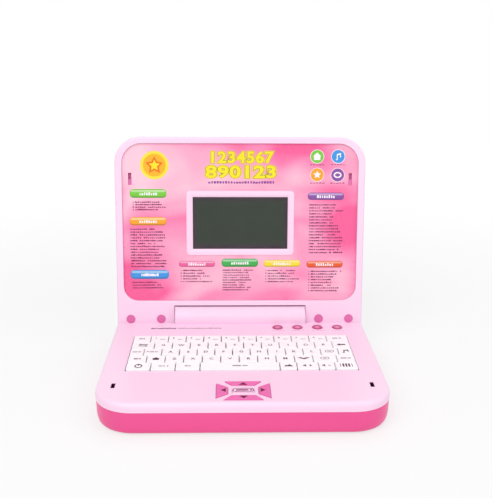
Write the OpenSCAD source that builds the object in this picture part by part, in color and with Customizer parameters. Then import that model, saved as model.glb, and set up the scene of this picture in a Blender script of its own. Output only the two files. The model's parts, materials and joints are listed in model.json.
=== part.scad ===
// Toy laptop computer, lid open, in millimetres. +Z is up and the front faces -Y.
// The origin is under the middle of the whole open laptop, on the plane the feet rest on.

/* [Case] */
// Width of base and lid
body_w = 250; // [240:1:260]
// Depth of the base
base_d = 190; // [180:1:200]
// Height of the deck's top face
deck_z = 30; // [28:0.5:34]
// Height of the seam between lower case and deck
seam_z = 22; // [20:0.5:24]
// Radius of the top corners of the lid
corner_r = 26; // [18:1:32]
// Radius of the base's front corners
front_r = 34; // [26:1:36]
// Radius of the base's rear corners
rear_r = 4; // [2:0.5:8]
// Wall thickness of all shells
wall = 2.2; // [1.8:0.1:3]
// Rounding of the lid's outer edge
edge_r = 2; // [1:0.5:3]
// Rounding of the deck's outer edge
deck_edge_r = 4; // [2:0.5:5]
// Height of the rubber feet below the case
foot_h = 1.5; // [1:0.5:3]
// Radius of a rubber foot
foot_r = 6; // [4:0.5:9]

/* [Hinge] */
// Height of the hinge axis above the deck
axis_above_deck = 4; // [3:0.5:6]
// Distance from the hinge axis to the back of the base
axis_to_back = 8; // [7:0.5:12]
// Opening angle of the lid at rest
lid_open = 97.6; // [0:0.1:107]
// Radius of the lid's rounded lower edge about the axis
barrel_r = 8.2; // [7:0.1:9]
// Radial gap between that edge and its trough
trough_gap = 0.4; // [0.3:0.1:0.8]
// Width of the centre hinge block
block_w = 132; // [120:1:150]
// Radius of the centre hinge block about the axis
block_r = 11.5; // [10:0.1:14]
// Gap between the block and the notch in the lid
notch_gap = 0.9; // [0.5:0.1:1.5]
// Radius of the hinge pins
pin_r = 2; // [1.5:0.1:2.5]
// Running clearance of the pins in the lid
pin_gap = 0.05; // [0.02:0.01:0.1]
// Length of pin inside the lid
pin_in_lid = 7; // [5:0.5:9]
// Length of pin inside the block
pin_in_block = 9; // [6:0.5:12]
// Radius of the hole along the right pin
pin_hole_r = 1.25; // [1:0.05:1.4]
// Radius of the wire bundle
wire_r = 1; // [0.6:0.1:1.1]
// Radius of the plugs in the lid's lower edge
plug_r = 4.35; // [3.5:0.05:4.5]
// Distance of the plugs from the ends of each half of that edge
plug_in = 13.6; // [12:0.1:16]
// Height of the plugs' centres above the axis
plug_s = -1.7; // [-2:0.1:-1]

/* [Lid] */
// Height of the lid above the hinge axis
lid_h = 182.7; // [170:0.1:190]
// Thickness of the lid
lid_t = 12.8; // [12:0.1:16]
// Gap between closed lid and deck
lid_gap = 1.2; // [1.1:0.1:1.6]
// Depth of front frame, to the seam of the lid
lid_split = 6; // [5:0.1:8]
// Height of the lower edge of the printed panel
label_low = 17.4; // [14:0.1:20]
// Height of the upper edge of the printed panel
label_high = 176.5; // [160:0.1:180]
// Width of the rim beside the printed panel
label_side = 7; // [5:0.5:12]
// Upper corner radius of the printed panel
label_top_r = 20; // [10:1:24]
// Lower corner radius of the printed panel
label_low_r = 15; // [8:1:20]
// Depth of the panel's face below the rim
label_sink = 2.6; // [2:0.1:4]
// Thickness of the printed panel
label_t = 0.8; // [0.5:0.1:1.2]
// Thickness of the frame's plate behind the printed panel
plate_t = 1; // [0.8:0.1:1.6]
// Gap around the printed panel
label_gap = 0.15; // [0.1:0.05:0.4]

/* [Screen] */
// Width of the visible screen
screen_w = 95.6; // [80:0.1:110]
// Height of the visible screen
screen_h = 51.2; // [40:0.1:60]
// Height of the screen's centre above the axis
screen_s = 96.8; // [90:0.1:110]
// Width of the bezel's band at the sides
bezel_side = 6.4; // [5:0.1:10]
// Width of the bezel's band above and below
bezel_end = 7.1; // [5:0.1:10]
// Corner radius of the bezel
bezel_r = 4; // [1:0.5:6]
// Height of the bezel above the panel
bezel_up = 1.2; // [0.8:0.1:1.6]
// Thickness of the clear window
window_t = 1.2; // [0.8:0.1:2]
// Thickness of the screen module
module_t = 3; // [2:0.1:3.5]
// Thickness of all circuit boards
board_t = 1.6; // [1:0.1:2]

/* [Latch slots] */
// Distance of the slots from the side of the case
slot_in = 14.8; // [12:0.1:20]
// Width of a slot
slot_w = 3.4; // [3:0.1:5]
// Length of a slot in the lid
lid_slot_l = 12; // [10:0.5:14]
// Distance of the lid slots' centre from the top of the lid
slot_down = 41.5; // [38:0.1:50]
// Length of a slot in the deck
deck_slot_l = 9; // [7:0.5:12]
// Distance of the deck slots' centre from the front edge
slot_front = 34.2; // [30:0.1:45]

/* [Keyboard] */
// Width of the deck beside the block of keys
key_side = 21.5; // [18:0.1:26]
// Distance of the first key row's far edge from the axis
keys_far = 42.3; // [40:0.1:48]
// Pitch of the five rows
row_pitch = 15.4; // [13:0.1:17]
// Gap between keys
key_gap = 0.9; // [0.6:0.1:1.4]
// Height of the key tops above the deck
key_up = 1.2; // [0.8:0.1:2]
// Thickness of a keycap
cap_t = 3.2; // [2.5:0.1:4]
// Corner radius of a keycap
cap_r = 1.2; // [0.5:0.1:2]
// Side of a key's square stem
stem_w = 6; // [4:0.5:7]
// Key travel
travel = 1.2; // [0.8:0.1:1.4]
// Gap around each stem in the guide plate
stem_gap = 0.35; // [0.3:0.05:0.5]
// Gap between the keys and the edge of the deck opening
open_gap = 0.4; // [0.3:0.1:0.8]

/* [Round buttons] */
// Radius of a round button
button_r = 5; // [4:0.1:6]
// Distance of the last round button from the side of the case
button_side = 27.5; // [24:0.5:34]
// Pitch of the round buttons
button_pitch = 20; // [16:0.1:24]
// Distance of the round buttons from the axis
button_d = 19.6; // [16:0.1:24]
// Gap around buttons and direction keys
button_gap = 0.35; // [0.3:0.05:0.6]
// Height of buttons and direction keys above the deck
button_up = 0.8; // [0.4:0.1:0.9]

/* [Direction pad] */
// Distance of the pad's centre from the front edge
pad_front = 23.4; // [22:0.1:28]
// Width of the pad
pad_w = 46; // [40:0.5:52]
// Depth of the pad
pad_h = 34; // [28:0.5:40]
// Width of the middle key
enter_w = 19; // [16:0.5:22]
// Depth of the middle key
enter_h = 7.6; // [6:0.1:9]

/* [Battery box] */
// Radius of a cell
cell_r = 7.1; // [5:0.1:7.2]
// Length of a cell
cell_l = 50.3; // [44:0.1:50.5]
// Number of cells
cell_n = 3; // [2:1:4]
// Distance of the box's centre from the left side
box_side = 55; // [50:1:60]
// Distance of the box's centre from the front edge
box_front = 31; // [30:1:45]
// Thickness of the battery door
door_t = 2; // [1.5:0.1:3]
// Gap around the door
door_gap = 0.3; // [0.2:0.1:0.5]
// Width of the ledge under the door's edge
ledge = 1.5; // [1:0.1:2]

/* [Speaker] */
// Radius of the loudspeaker
speaker_r = 25; // [18:1:28]
// Distance of the loudspeaker from the right side
speaker_side = 53; // [44:1:60]
// Distance of the loudspeaker from the front edge
speaker_front = 35; // [33:1:42]

/* [Screws] */
// Radius of a screw's thread
screw_r = 1.25; // [1:0.05:1.5]
// Radius of a screw's head
head_r = 2.8; // [2.4:0.1:3.2]
// Height of a screw's head
head_h = 2; // [1.5:0.1:2.5]
// Outer radius of the screw posts
post_r = 4; // [3:0.1:5]

/* [Hidden] */
$fn = 48;
eps = 0.02;
hinge_y = base_d / 2 - axis_to_back;
hinge_z = deck_z + axis_above_deck;
front_y = -base_d / 2;
lean = lid_open - 90;
slot_x = body_w / 2 - slot_in;
lid_slot_s = lid_h - slot_down;
keys_w = body_w - 2 * key_side;
button_x = body_w / 2 - button_side - 3 * button_pitch;
box_x = box_side - body_w / 2;
box_y = front_y + box_front;
speaker_x = body_w / 2 - speaker_side;
speaker_y = front_y + speaker_front;
trough_r = barrel_r + trough_gap;
trough_w = body_w - 2 * wall + 1;
block_back = axis_to_back - 0.1;
lid_y0 = lid_gap - axis_above_deck;
lid_y1 = lid_y0 + lid_t;
split_y = lid_y0 + lid_split;
label_y = lid_y0 + label_sink;
plate_y0 = label_y + label_t;
plate_y1 = plate_y0 + plate_t;
lid_in_y1 = lid_y1 - wall;
lid_back_r = 4;
back_y = hinge_y + lid_y1 * cos(lean) + (lid_h - lid_back_r) * sin(lean);
base_cy = -(front_y + back_y) / 2;
label_w = body_w - 2 * label_side;
notch_w = block_w + 2 * notch_gap;
notch_s = block_r + notch_gap;
bezel_w = screen_w + 2 * bezel_side;
bezel_h = screen_h + 2 * bezel_end;
neck_w = bezel_w - 4.4;
neck_h = bezel_h - 4.4;
window_w = screen_w + 3.6;
window_h = screen_h + 3.6;
bezel_y0 = label_y - bezel_up;
module_y0 = plate_y1 + 0.1;
screen_board_y0 = module_y0 + module_t + 0.1;
case_z = foot_h;
floor_z = case_z + wall;
deck_low = deck_z - wall;
cap_top = deck_z + key_up;
cap_low = cap_top - cap_t;
plate_z1 = cap_low - travel - 1;
plate_z0 = plate_z1 - 1.4;
flange_z1 = plate_z0 - 0.2;
flange_z0 = flange_z1 - 1.2;
mat_top = flange_z0 - travel - 0.3;
mat_z0 = mat_top - 2.8;
mat_t = 0.8;
board_z0 = mat_z0 - board_t;
wire_z = board_z0 + board_t + wire_r;
screen_board_w = screen_w + 22;
flange_w = stem_w + 1.8;
row_y0 = hinge_y - keys_far;
rows_d = 5 * row_pitch;
keys_cy = row_y0 - rows_d / 2;
button_y = hinge_y - button_d;
pad_y = front_y + pad_front;
slot_y = front_y + slot_front;
pocket_w = cell_l + 3.7;
pocket_d = cell_n * 2 * cell_r + 2;
cell_z = case_z + door_t + 0.4 + cell_r;
box_top = cell_z + cell_r + 1;
ear_x = box_x + pocket_w / 2 + ledge + 5;
case_screws_xy = [[body_w / 2 - 9, hinge_y - 25], [body_w / 2 - 9, -4], [body_w / 2 - 21, front_y + 15]];

// side of the lower case, bulging from the floor to the seam: height above the floor, distance inwards
case_profile = [[0, 4.3], [1, 2.8], [2.5, 1.8], [5, 1.1], [9, 0.6], [seam_z - case_z, 0.3]];
socket_z = 13;
socket_box = 12;
socket_in = wall + lookup(socket_z - socket_box / 2 - floor_z, case_profile) + 0.1;

lid_screws_xs = [[body_w / 2 - 13, lid_h - 19], [body_w / 2 - 8, 60], [(notch_w + body_w) / 4, 9]];
plugs_x = [notch_w / 2 + plug_in, body_w / 2 - plug_in];
feet_xy = [[body_w / 2 - 17, hinge_y - 13], [body_w / 2 - 16, front_y + 35]];
board_posts_xy = [[keys_w / 2 - 6, keys_cy - 33.2], [keys_w / 2 - 6, keys_cy + 28.8]];
key_unit = keys_w / 12.2;

// edges of the keys of each row, in key units from the left end
function row_x(first, pitch, count) =
    concat([-keys_w / 2], [for (i = [0:count]) -keys_w / 2 + (first + i * pitch) * key_unit]);
row1_x = concat(row_x(0.98, 1, 10), [keys_w / 2]);
row2_x = concat(row_x(1.261, 0.995, 10), [keys_w / 2]);
row3_x = concat(row_x(0.7625, 0.9684, 11), [keys_w / 2]);
row4_x = concat(row_x(0.993, 0.993, 9), [-keys_w / 2 + 11.215 * key_unit, keys_w / 2]);
row5_x = concat(row_x(1.29, 1.2963, 2),
    [for (u = [8.088, 8.992, 10.141, 11.009]) -keys_w / 2 + u * key_unit], [keys_w / 2]);
row_list = [row1_x, row2_x, row3_x, row4_x, row5_x];

// row and first to last place of the keys in each key node
key_nodes = [
    ["key_escape", 0, 0, 0],
    ["keys_digits", 0, 1, 10],
    ["key_backspace", 0, 11, 11],
    ["key_tab", 1, 0, 0],
    ["keys_letters_upper", 1, 1, 10],
    ["key_bracket", 1, 11, 11],
    ["key_mode", 2, 0, 0],
    ["key_capitals", 2, 1, 1],
    ["keys_letters_middle", 2, 2, 10],
    ["key_repeat", 2, 11, 11],
    ["key_music", 2, 12, 12],
    ["keys_games", 3, 0, 1],
    ["keys_letters_lower", 3, 2, 9],
    ["key_shift", 3, 10, 10],
    ["key_return", 3, 11, 11],
    ["key_power", 4, 0, 0],
    ["key_help", 4, 1, 1],
    ["key_answer", 4, 2, 2],
    ["key_space", 4, 3, 3],
    ["key_level", 4, 4, 4],
    ["key_louder", 4, 5, 5],
    ["key_softer", 4, 6, 6],
    ["key_piano", 4, 7, 7],
];

// ---- plain helpers ----

module round_rect(w, h, r) {
    square([w, h - 2 * r], center = true);
    square([w - 2 * r, h], center = true);
    for (sx = [-1, 1], sy = [-1, 1])
        translate([sx * (w / 2 - r), sy * (h / 2 - r)])
            circle(r);
}

module x_rod(r, length) {
    rotate([0, 90, 0])
        cylinder(h = length, r = r, center = true);
}

module both() {
    children();
    mirror([1, 0, 0])
        children();
}

// moves a part drawn about the middle of the base into its place
module placed() {
    translate([0, base_cy, 0])
        children();
}

// moves a part drawn about the hinge axis, lid upright, into its place
module on_hinge() {
    translate([0, base_cy + hinge_y, hinge_z])
        rotate([-lean, 0, 0])
            children();
}

// an outline in X and height, pushed out from y0 to y1
module standing(y0, y1) {
    translate([0, y1, 0])
        rotate([90, 0, 0])
            linear_extrude(y1 - y0)
                children();
}

// ---- base ----

module base_plan(inset) {
    w = body_w - 2 * inset;
    d = base_d - 2 * inset;
    rf = front_r - inset;
    rr = max(rear_r - inset, 0.5);
    translate([-w / 2, -d / 2 + rf])
        square([w, d - rf - rr]);
    translate([-w / 2 + rf, -d / 2])
        square([w - 2 * rf, rf + eps]);
    translate([-w / 2 + rr, d / 2 - rr - eps])
        square([w - 2 * rr, rr + eps]);
    for (s = [-1, 1]) {
        translate([s * (w / 2 - rf), -d / 2 + rf])
            circle(rf);
        translate([s * (w / 2 - rr), d / 2 - rr])
            circle(rr);
    }
}

module plan_slab(z, inset) {
    translate([0, 0, z])
        linear_extrude(eps)
            base_plan(inset);
}

module post_with_hole(x, y, z0, z1, r, hole) {
    translate([x, y, z0])
        difference() {
            cylinder(h = z1 - z0, r = r);
            translate([0, 0, -1])
                cylinder(h = z1 - z0 + 2, r = hole);
        }
}

module door_plan(inset) {
    w = pocket_w + 2 * ledge - 2 * inset;
    d = pocket_d + 2 * ledge - 2 * inset;
    translate([box_x, box_y])
        square([w, d], center = true);
    translate([ear_x, box_y])
        circle(5 - inset);
    translate([ear_x - 8, box_y - 5 + inset])
        square([8, 10 - 2 * inset]);
}

module speaker_grille() {
    for (ring = [0:2])
        for (a = [0:360 / max(6 * ring, 1):359])
            translate([speaker_x + 6 * ring * cos(a), speaker_y + 6 * ring * sin(a), 0])
                cylinder(h = 3 * wall, r = 1.4, $fn = 16);
}

module base_bottom_case() {
    color([0.93, 0.3, 0.6])
    placed()
    difference() {
        union() {
            difference() {
                union() {
                    hull()
                        for (p = case_profile)
                            plan_slab(case_z + p[0] - (p[0] > 0 ? eps : 0), p[1]);
                }
                hull()
                    for (p = case_profile)
                        plan_slab(floor_z + p[0], p[1] + wall);
            }
            // battery box and the post of its screw
            translate([box_x, box_y, (case_z + box_top + wall) / 2])
                cube([pocket_w + 2 * ledge + 2 * wall, pocket_d + 2 * ledge + 2,
                      box_top + wall - case_z], center = true);
            translate([ear_x, box_y, case_z])
                cylinder(h = 12, r = 7);
            // ring that holds the loudspeaker
            translate([speaker_x, speaker_y, floor_z - eps])
                difference() {
                    cylinder(h = 3, r = speaker_r + 2.3);
                    translate([0, 0, -1])
                        cylinder(h = 5, r = speaker_r + 0.3);
                }
            both()
                for (p = case_screws_xy)
                    translate([p[0], p[1], case_z])
                        cylinder(h = seam_z - case_z, r = post_r);
            both()
                for (p = board_posts_xy)
                    translate([p[0], p[1], floor_z - eps])
                        cylinder(h = board_z0 - floor_z + eps, r = 3);
            for (x = [-30, 50], y = [8, 40])
                translate([x, y, floor_z - eps])
                    cylinder(h = 5, r = 3);
        }
        // battery pocket and door recess
        translate([box_x, box_y, (box_top - 5) / 2])
            cube([pocket_w, pocket_d, box_top + 5], center = true);
        translate([0, 0, case_z - 1])
            linear_extrude(door_t + 1)
                door_plan(0);
        translate([ear_x, box_y, case_z])
            cylinder(h = 10, r = screw_r + 0.05);
        translate([0, 0, case_z - 1])
            speaker_grille();
        both()
            for (p = case_screws_xy) {
                translate([p[0], p[1], case_z - 1])
                    cylinder(h = 1 + 3 + head_h, r = head_r + 0.3);
                translate([p[0], p[1], case_z])
                    cylinder(h = seam_z, r = screw_r + 0.3);
            }
        // hole for the mouse socket
        translate([body_w / 2 - wall / 2, 40, socket_z])
            x_rod(4, 3 * wall);
        // seats of the feet
        both()
            for (p = feet_xy)
                translate([p[0], p[1], case_z - 1])
                    cylinder(h = 1 + 0.8, r = foot_r);
    }
}

module trough_cut(r) {
    x0 = block_w / 2;
    both()
        translate([x0, 0, 0]) {
            translate([(body_w / 2 - x0 + 2) / 2, hinge_y, hinge_z])
                x_rod(r, body_w / 2 - x0 + 2);
            translate([0, hinge_y, hinge_z - r])
                cube([body_w / 2 - x0 + 2, axis_to_back + 2, 2 * r]);
        }
}

module pad_hole(name) {
    hw = pad_w / 2;
    hh = pad_h / 2;
    if (name == "up")
        polygon([[-16.5, hh], [16.5, hh], [10, 9.3], [-10, 9.3]]);
    if (name == "down")
        polygon([[-17, -hh], [17, -hh], [10.5, -8.7], [-10.5, -8.7]]);
    if (name == "left")
        polygon([[-hw, 13.6], [-12.7, 6.2], [-12.7, -6.2], [-hw, -14]]);
    if (name == "right")
        polygon([[hw, 13.6], [12.7, 6.2], [12.7, -6.2], [hw, -14]]);
    if (name == "enter")
        round_rect(enter_w, enter_h, 2);
}

module base_top_deck() {
    color([0.99, 0.8, 0.93])
    placed()
    difference() {
        union() {
            difference() {
                union() {
                    translate([0, 0, seam_z])
                        linear_extrude(deck_z - deck_edge_r - seam_z)
                            base_plan(0);
                    hull()
                        for (a = [0:15:90])
                            plan_slab(deck_z - eps - deck_edge_r * (1 - sin(a)), deck_edge_r * (1 - cos(a)));
                }
                translate([0, 0, seam_z - 1])
                    linear_extrude(deck_low - seam_z + 1)
                        base_plan(wall);
            }
            // walls of the trough the lid turns in
            intersection() {
                translate([0, hinge_y, hinge_z])
                    x_rod(trough_r + wall, trough_w);
                translate([-trough_w / 2, hinge_y - 14, seam_z])
                    cube([trough_w, 14 + axis_to_back - 1, deck_low + 1 - seam_z]);
            }
            translate([-trough_w / 2, hinge_y, hinge_z - trough_r - wall])
                cube([trough_w, axis_to_back - 1, wall + 1]);
            // centre hinge block
            intersection() {
                translate([0, hinge_y, hinge_z])
                    x_rod(block_r, block_w);
                translate([-block_w / 2, hinge_y - block_r, deck_z - deck_edge_r - 1])
                    cube([block_w, block_r + block_back, block_r + deck_edge_r + 10]);
            }
            both()
                for (p = case_screws_xy)
                    translate([p[0], p[1], seam_z])
                        cylinder(h = deck_low + 0.5 - seam_z, r = post_r - 0.4);
        }
        trough_cut(trough_r);
        // hollow of the block, open to the inside of the base
        difference() {
            intersection() {
                union() {
                    translate([0, hinge_y, hinge_z])
                        x_rod(block_r - wall, block_w - 2 * wall);
                    translate([-block_w / 2 + wall, hinge_y - block_r + wall, seam_z - 1])
                        cube([block_w - 2 * wall, block_r + axis_to_back, 13]);
                }
                translate([-body_w / 2, front_y, seam_z - 2])
                    cube([body_w, hinge_y + block_back - wall - 0.2 - front_y, 60]);
            }
            both()
                translate([block_w / 2 - pin_in_block / 2, hinge_y, hinge_z])
                    x_rod(pin_r + 2.5, pin_in_block + eps);
        }
        both()
            translate([block_w / 2 - pin_in_block / 2, hinge_y, hinge_z])
                x_rod(pin_r + 0.01, pin_in_block + 4);
        // key opening
        translate([-keys_w / 2 - open_gap, keys_cy - rows_d / 2 - open_gap, deck_low - 1])
            cube([keys_w + 2 * open_gap, rows_d + 2 * open_gap, 10]);
        for (i = [0:3])
            translate([button_x + i * button_pitch, button_y, deck_low - 1])
                cylinder(h = 10, r = button_r + button_gap);
        translate([0, pad_y, deck_low - 1])
            linear_extrude(10)
                for (n = ["up", "down", "left", "right", "enter"])
                    pad_hole(n);
        both()
            translate([slot_x - slot_w / 2, slot_y - deck_slot_l / 2, deck_low - 1])
                cube([slot_w, deck_slot_l, 10]);
        both()
            for (p = case_screws_xy)
                translate([p[0], p[1], seam_z - 1])
                    cylinder(h = 6, r = screw_r + 0.05);
    }
}

module battery_door() {
    color([0.93, 0.3, 0.6])
    placed()
    difference() {
        union() {
            translate([0, 0, case_z])
                linear_extrude(door_t - 0.1)
                    door_plan(door_gap);
            for (s = [-1, 1])
                translate([box_x, box_y + s * (pocket_d / 2 - 1.5), case_z + door_t - 0.5 + 1 / 2])
                    cube([pocket_w - 12, 1, 1], center = true);
        }
        translate([ear_x, box_y, case_z - 1])
            cylinder(h = 5, r = screw_r + 0.3);
        translate([ear_x, box_y, case_z - 1])
            cylinder(h = 1.9, r = head_r + 0.3);
        // finger grooves
        for (i = [0:3])
            translate([box_x - pocket_w / 2 + 4 + 3 * i, box_y - 8, case_z - 1])
                cube([1.2, 16, 1.6]);
    }
}

module screw(length) {
    difference() {
        union() {
            cylinder(h = head_h * 0.45, r = head_r);
            cylinder(h = length, r = screw_r);
        }
        // cross slot
        for (a = [0, 90])
            rotate([0, 0, a])
                translate([-head_r * 0.6, -0.4, -1])
                    cube([head_r * 1.2, 0.8, 1.6]);
    }
}

module battery_door_screw() {
    color([0.7, 0.7, 0.72])
    placed()
    translate([ear_x, box_y, case_z])
        screw(8);
}

module battery_cells() {
    color([0.15, 0.35, 0.2])
    placed()
    for (i = [0:cell_n - 1])
        translate([box_x, box_y + (i - (cell_n - 1) / 2) * (2 * cell_r + 0.4), cell_z])
            rotate([0, 0, i % 2 * 180])
                rotate([0, 90, 0]) {
                    cylinder(h = cell_l - 1.6, r = cell_r, center = true);
                    translate([0, 0, cell_l / 2 - 1])
                        cylinder(h = 1, r = 2.7);
                }
}

module battery_contacts() {
    color([0.8, 0.8, 0.82])
    placed()
    for (s = [-1, 1], i = [0:cell_n - 1])
        translate([box_x + s * (pocket_w / 2 - 0.3),
                   box_y + (i - (cell_n - 1) / 2) * (2 * cell_r + 0.4), cell_z]) {
            cube([0.5, 10, 11], center = true);
            translate([-s * 0.5, 0, 0])
                x_rod(2.2, 1);
        }
}

module speaker() {
    color([0.2, 0.2, 0.22])
    placed()
    translate([speaker_x, speaker_y, floor_z + 0.05])
        rotate_extrude()
            polygon([[0, 3.6], [8, 3.4], [speaker_r - 4, 0.9], [speaker_r - 3, 0], [speaker_r, 0],
                     [speaker_r, 1.8], [speaker_r - 3, 1.8], [13, 7], [12.5, 7], [12.5, 11.6],
                     [0, 11.6]]);
}

module main_board() {
    color([0.1, 0.4, 0.25])
    placed()
    translate([-35, 3, floor_z + 5]) {
        difference() {
            cube([90, 42, board_t]);
            for (x = [5, 85], y = [5, 37])
                translate([x, y, -1])
                    cylinder(h = 4, r = 1.5);
        }
        translate([30, 20, board_t - eps])
            cylinder(h = 1.6, r = 8);
        translate([60, 24, board_t - eps])
            cube([14, 9, 2]);
        translate([14, 30, board_t - eps])
            cylinder(h = 5.5, r = 3);
    }
}

// outline shared by the key board and the silicone mat above it
module board_plan(inset) {
    translate([0, keys_cy])
        square([keys_w + 4 - 2 * inset, rows_d + 4 - 2 * inset], center = true);
    translate([-30 + inset, pad_y - 19 + inset])
        square([60 - 2 * inset, keys_cy - pad_y + 19 - inset]);
    translate([button_x + 1.5 * button_pitch - 40 + inset, keys_cy])
        square([80 - 2 * inset, button_y + 8 - keys_cy - inset]);
}

module board_hole_plan() {
    both()
        for (p = board_posts_xy)
            translate([p[0], p[1]])
                circle(1.2);
}

module key_board() {
    color([0.1, 0.4, 0.25])
    placed()
    translate([0, 0, board_z0])
        linear_extrude(board_t - 0.02)
            difference() {
                board_plan(0);
                board_hole_plan();
            }
}

module pad_centres() {
    for (p = [[0, 13], [0, -12.7], [-18, 0], [18, 0], [0, 0]])
        translate([p[0], pad_y + p[1], 0])
            children();
}

module key_mat() {
    color([0.85, 0.85, 0.88])
    placed()
    {
        translate([0, 0, mat_z0])
            linear_extrude(mat_t)
                difference() {
                    board_plan(1);
                    board_hole_plan();
                }
        translate([0, 0, mat_z0 + mat_t - eps]) {
            for (r = [0:4])
                for (i = [0:len(row_list[r]) - 2])
                    translate([(row_list[r][i] + row_list[r][i + 1]) / 2,
                               row_y0 - (r + 0.5) * row_pitch, 0])
                        cylinder(h = mat_top - mat_z0 - mat_t, r = 3, $fn = 16);
            for (i = [0:3])
                translate([button_x + i * button_pitch, button_y, 0])
                    cylinder(h = mat_top - mat_z0 - mat_t, r = 3, $fn = 16);
            pad_centres()
                cylinder(h = mat_top - mat_z0 - mat_t, r = 2.4, $fn = 16);
        }
    }
}

module key_guide_plate() {
    color([0.95, 0.85, 0.9])
    placed()
    difference() {
        union() {
            translate([0, keys_cy, (plate_z0 + plate_z1) / 2])
                cube([keys_w + 5, rows_d + 5, plate_z1 - plate_z0], center = true);
            difference() {
                translate([0, keys_cy, (plate_z1 - 0.5 + deck_low) / 2])
                    cube([keys_w + 5, rows_d + 5, deck_low - plate_z1 + 0.5], center = true);
                translate([0, keys_cy, plate_z1 + 4])
                    cube([keys_w + 1.6, rows_d + 1.6, 8], center = true);
            }
        }
        for (r = [0:4])
            for (i = [0:len(row_list[r]) - 2])
                translate([(row_list[r][i] + row_list[r][i + 1]) / 2,
                           row_y0 - (r + 0.5) * row_pitch, plate_z0])
                    cube([stem_w + 2 * stem_gap, stem_w + 2 * stem_gap, 5], center = true);
    }
}

module rubber_feet() {
    color([0.25, 0.25, 0.27])
    placed()
    both()
        for (p = feet_xy)
            translate([p[0], p[1], 0])
                cylinder(h = foot_h + 0.75, r = foot_r - 0.1);
}

module case_screws() {
    color([0.7, 0.7, 0.72])
    placed()
    both()
        for (p = case_screws_xy)
            translate([p[0], p[1], case_z + 3 + head_h * 0.55])
                screw(21);
}

module mouse_socket() {
    color([0.15, 0.15, 0.17])
    placed()
    translate([body_w / 2, 40, socket_z])
        difference() {
            union() {
                translate([-6, 0, 0])
                    x_rod(3.9, 12);
                translate([-socket_in - 4, 0, 0])
                    cube([8, socket_box, socket_box], center = true);
            }
            translate([-3, 0, 0])
                x_rod(1.8, 12);
        }
}

module hinge_pins() {
    color([0.75, 0.75, 0.78])
    placed()
    for (s = [-1, 1])
        translate([s * (block_w / 2 + (pin_in_lid + notch_gap - pin_in_block) / 2), hinge_y, hinge_z])
            difference() {
                x_rod(pin_r, pin_in_block + notch_gap + pin_in_lid);
                if (s > 0)
                    x_rod(pin_hole_r, 40);
            }
}

module hinge_wires() {
    color([0.8, 0.2, 0.2])
    placed() {
        translate([(44 + block_w / 2 + pin_in_lid) / 2, hinge_y, hinge_z])
            x_rod(wire_r, block_w / 2 + pin_in_lid - 44);
        translate([44, hinge_y, hinge_z])
            sphere(wire_r);
        translate([44, hinge_y, wire_z])
            cylinder(h = hinge_z - wire_z, r = wire_r);
        translate([44, hinge_y, wire_z])
            sphere(wire_r);
        translate([44, button_y + 7.5, wire_z])
            rotate([-90, 0, 0])
                cylinder(h = hinge_y - button_y - 7.5, r = wire_r);
    }
}

module round_button(i) {
    color([0.9, 0.35, 0.6])
    placed()
    translate([button_x + i * button_pitch, button_y, 0])
        difference() {
            union() {
                translate([0, 0, flange_z0])
                    cylinder(h = deck_z + button_up - flange_z0, r = button_r);
                translate([0, 0, deck_low - 2.2])
                    cylinder(h = 1.8, r = button_r + 1.5);
            }
            // dished top
            translate([0, 0, deck_z + button_up + 14.2])
                sphere(15);
        }
}

module button_1() { round_button(0); }
module button_2() { round_button(1); }
module button_3() { round_button(2); }
module button_4() { round_button(3); }

module pad_key(name, cx, cy) {
    translate([0, pad_y, 0]) {
        translate([0, 0, deck_low - 0.6])
            linear_extrude(wall + 0.6 + button_up)
                offset(delta = -button_gap)
                    pad_hole(name);
        translate([0, 0, deck_low - 1.8])
            linear_extrude(1.3)
                offset(delta = 0.6)
                    pad_hole(name);
        translate([cx, cy, flange_z0])
            cylinder(h = deck_low - 1 - flange_z0, r = 2.2);
    }
}

module pad_up() {
    color([0.9, 0.35, 0.6])
    placed()
    pad_key("up", 0, 13);
}

module pad_down() {
    color([0.9, 0.35, 0.6])
    placed()
    pad_key("down", 0, -12.7);
}

module pad_left() {
    color([0.9, 0.35, 0.6])
    placed()
    pad_key("left", -18, 0);
}

module pad_right() {
    color([0.9, 0.35, 0.6])
    placed()
    pad_key("right", 18, 0);
}

module pad_enter() {
    color([0.99, 0.8, 0.93])
    placed()
    pad_key("enter", 0, 0);
}

// ---- keys ----

module key(row, place) {
    x0 = row_list[row][place];
    x1 = row_list[row][place + 1];
    translate([(x0 + x1) / 2, row_y0 - (row + 0.5) * row_pitch, 0]) {
        translate([0, 0, cap_low])
            linear_extrude(cap_t)
                round_rect(x1 - x0 - key_gap, row_pitch - key_gap, cap_r, $fn = 16);
        translate([0, 0, (flange_z0 + cap_low) / 2])
            cube([stem_w, stem_w, cap_low - flange_z0 + eps], center = true);
        translate([0, 0, (flange_z0 + flange_z1) / 2])
            cube([flange_w, flange_w, flange_z1 - flange_z0], center = true);
    }
}

module key_node(k) {
    color([0.97, 0.96, 0.95])
    placed()
    for (i = [k[2]:k[3]])
        key(k[1], i);
}

// ---- lid, drawn upright about the hinge axis ----

module lid_outline(inset) {
    w = body_w - 2 * inset;
    r = corner_r - inset;
    top = lid_h - inset;
    translate([-w / 2, -20])
        square([w, top - r + 20]);
    translate([-w / 2 + r, 0])
        square([w - 2 * r, top]);
    for (s = [-1, 1])
        translate([s * (w / 2 - r), top - r])
            circle(r);
}

module lid_slab(y, inset) {
    standing(y, y + eps)
        lid_outline(inset);
}

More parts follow.
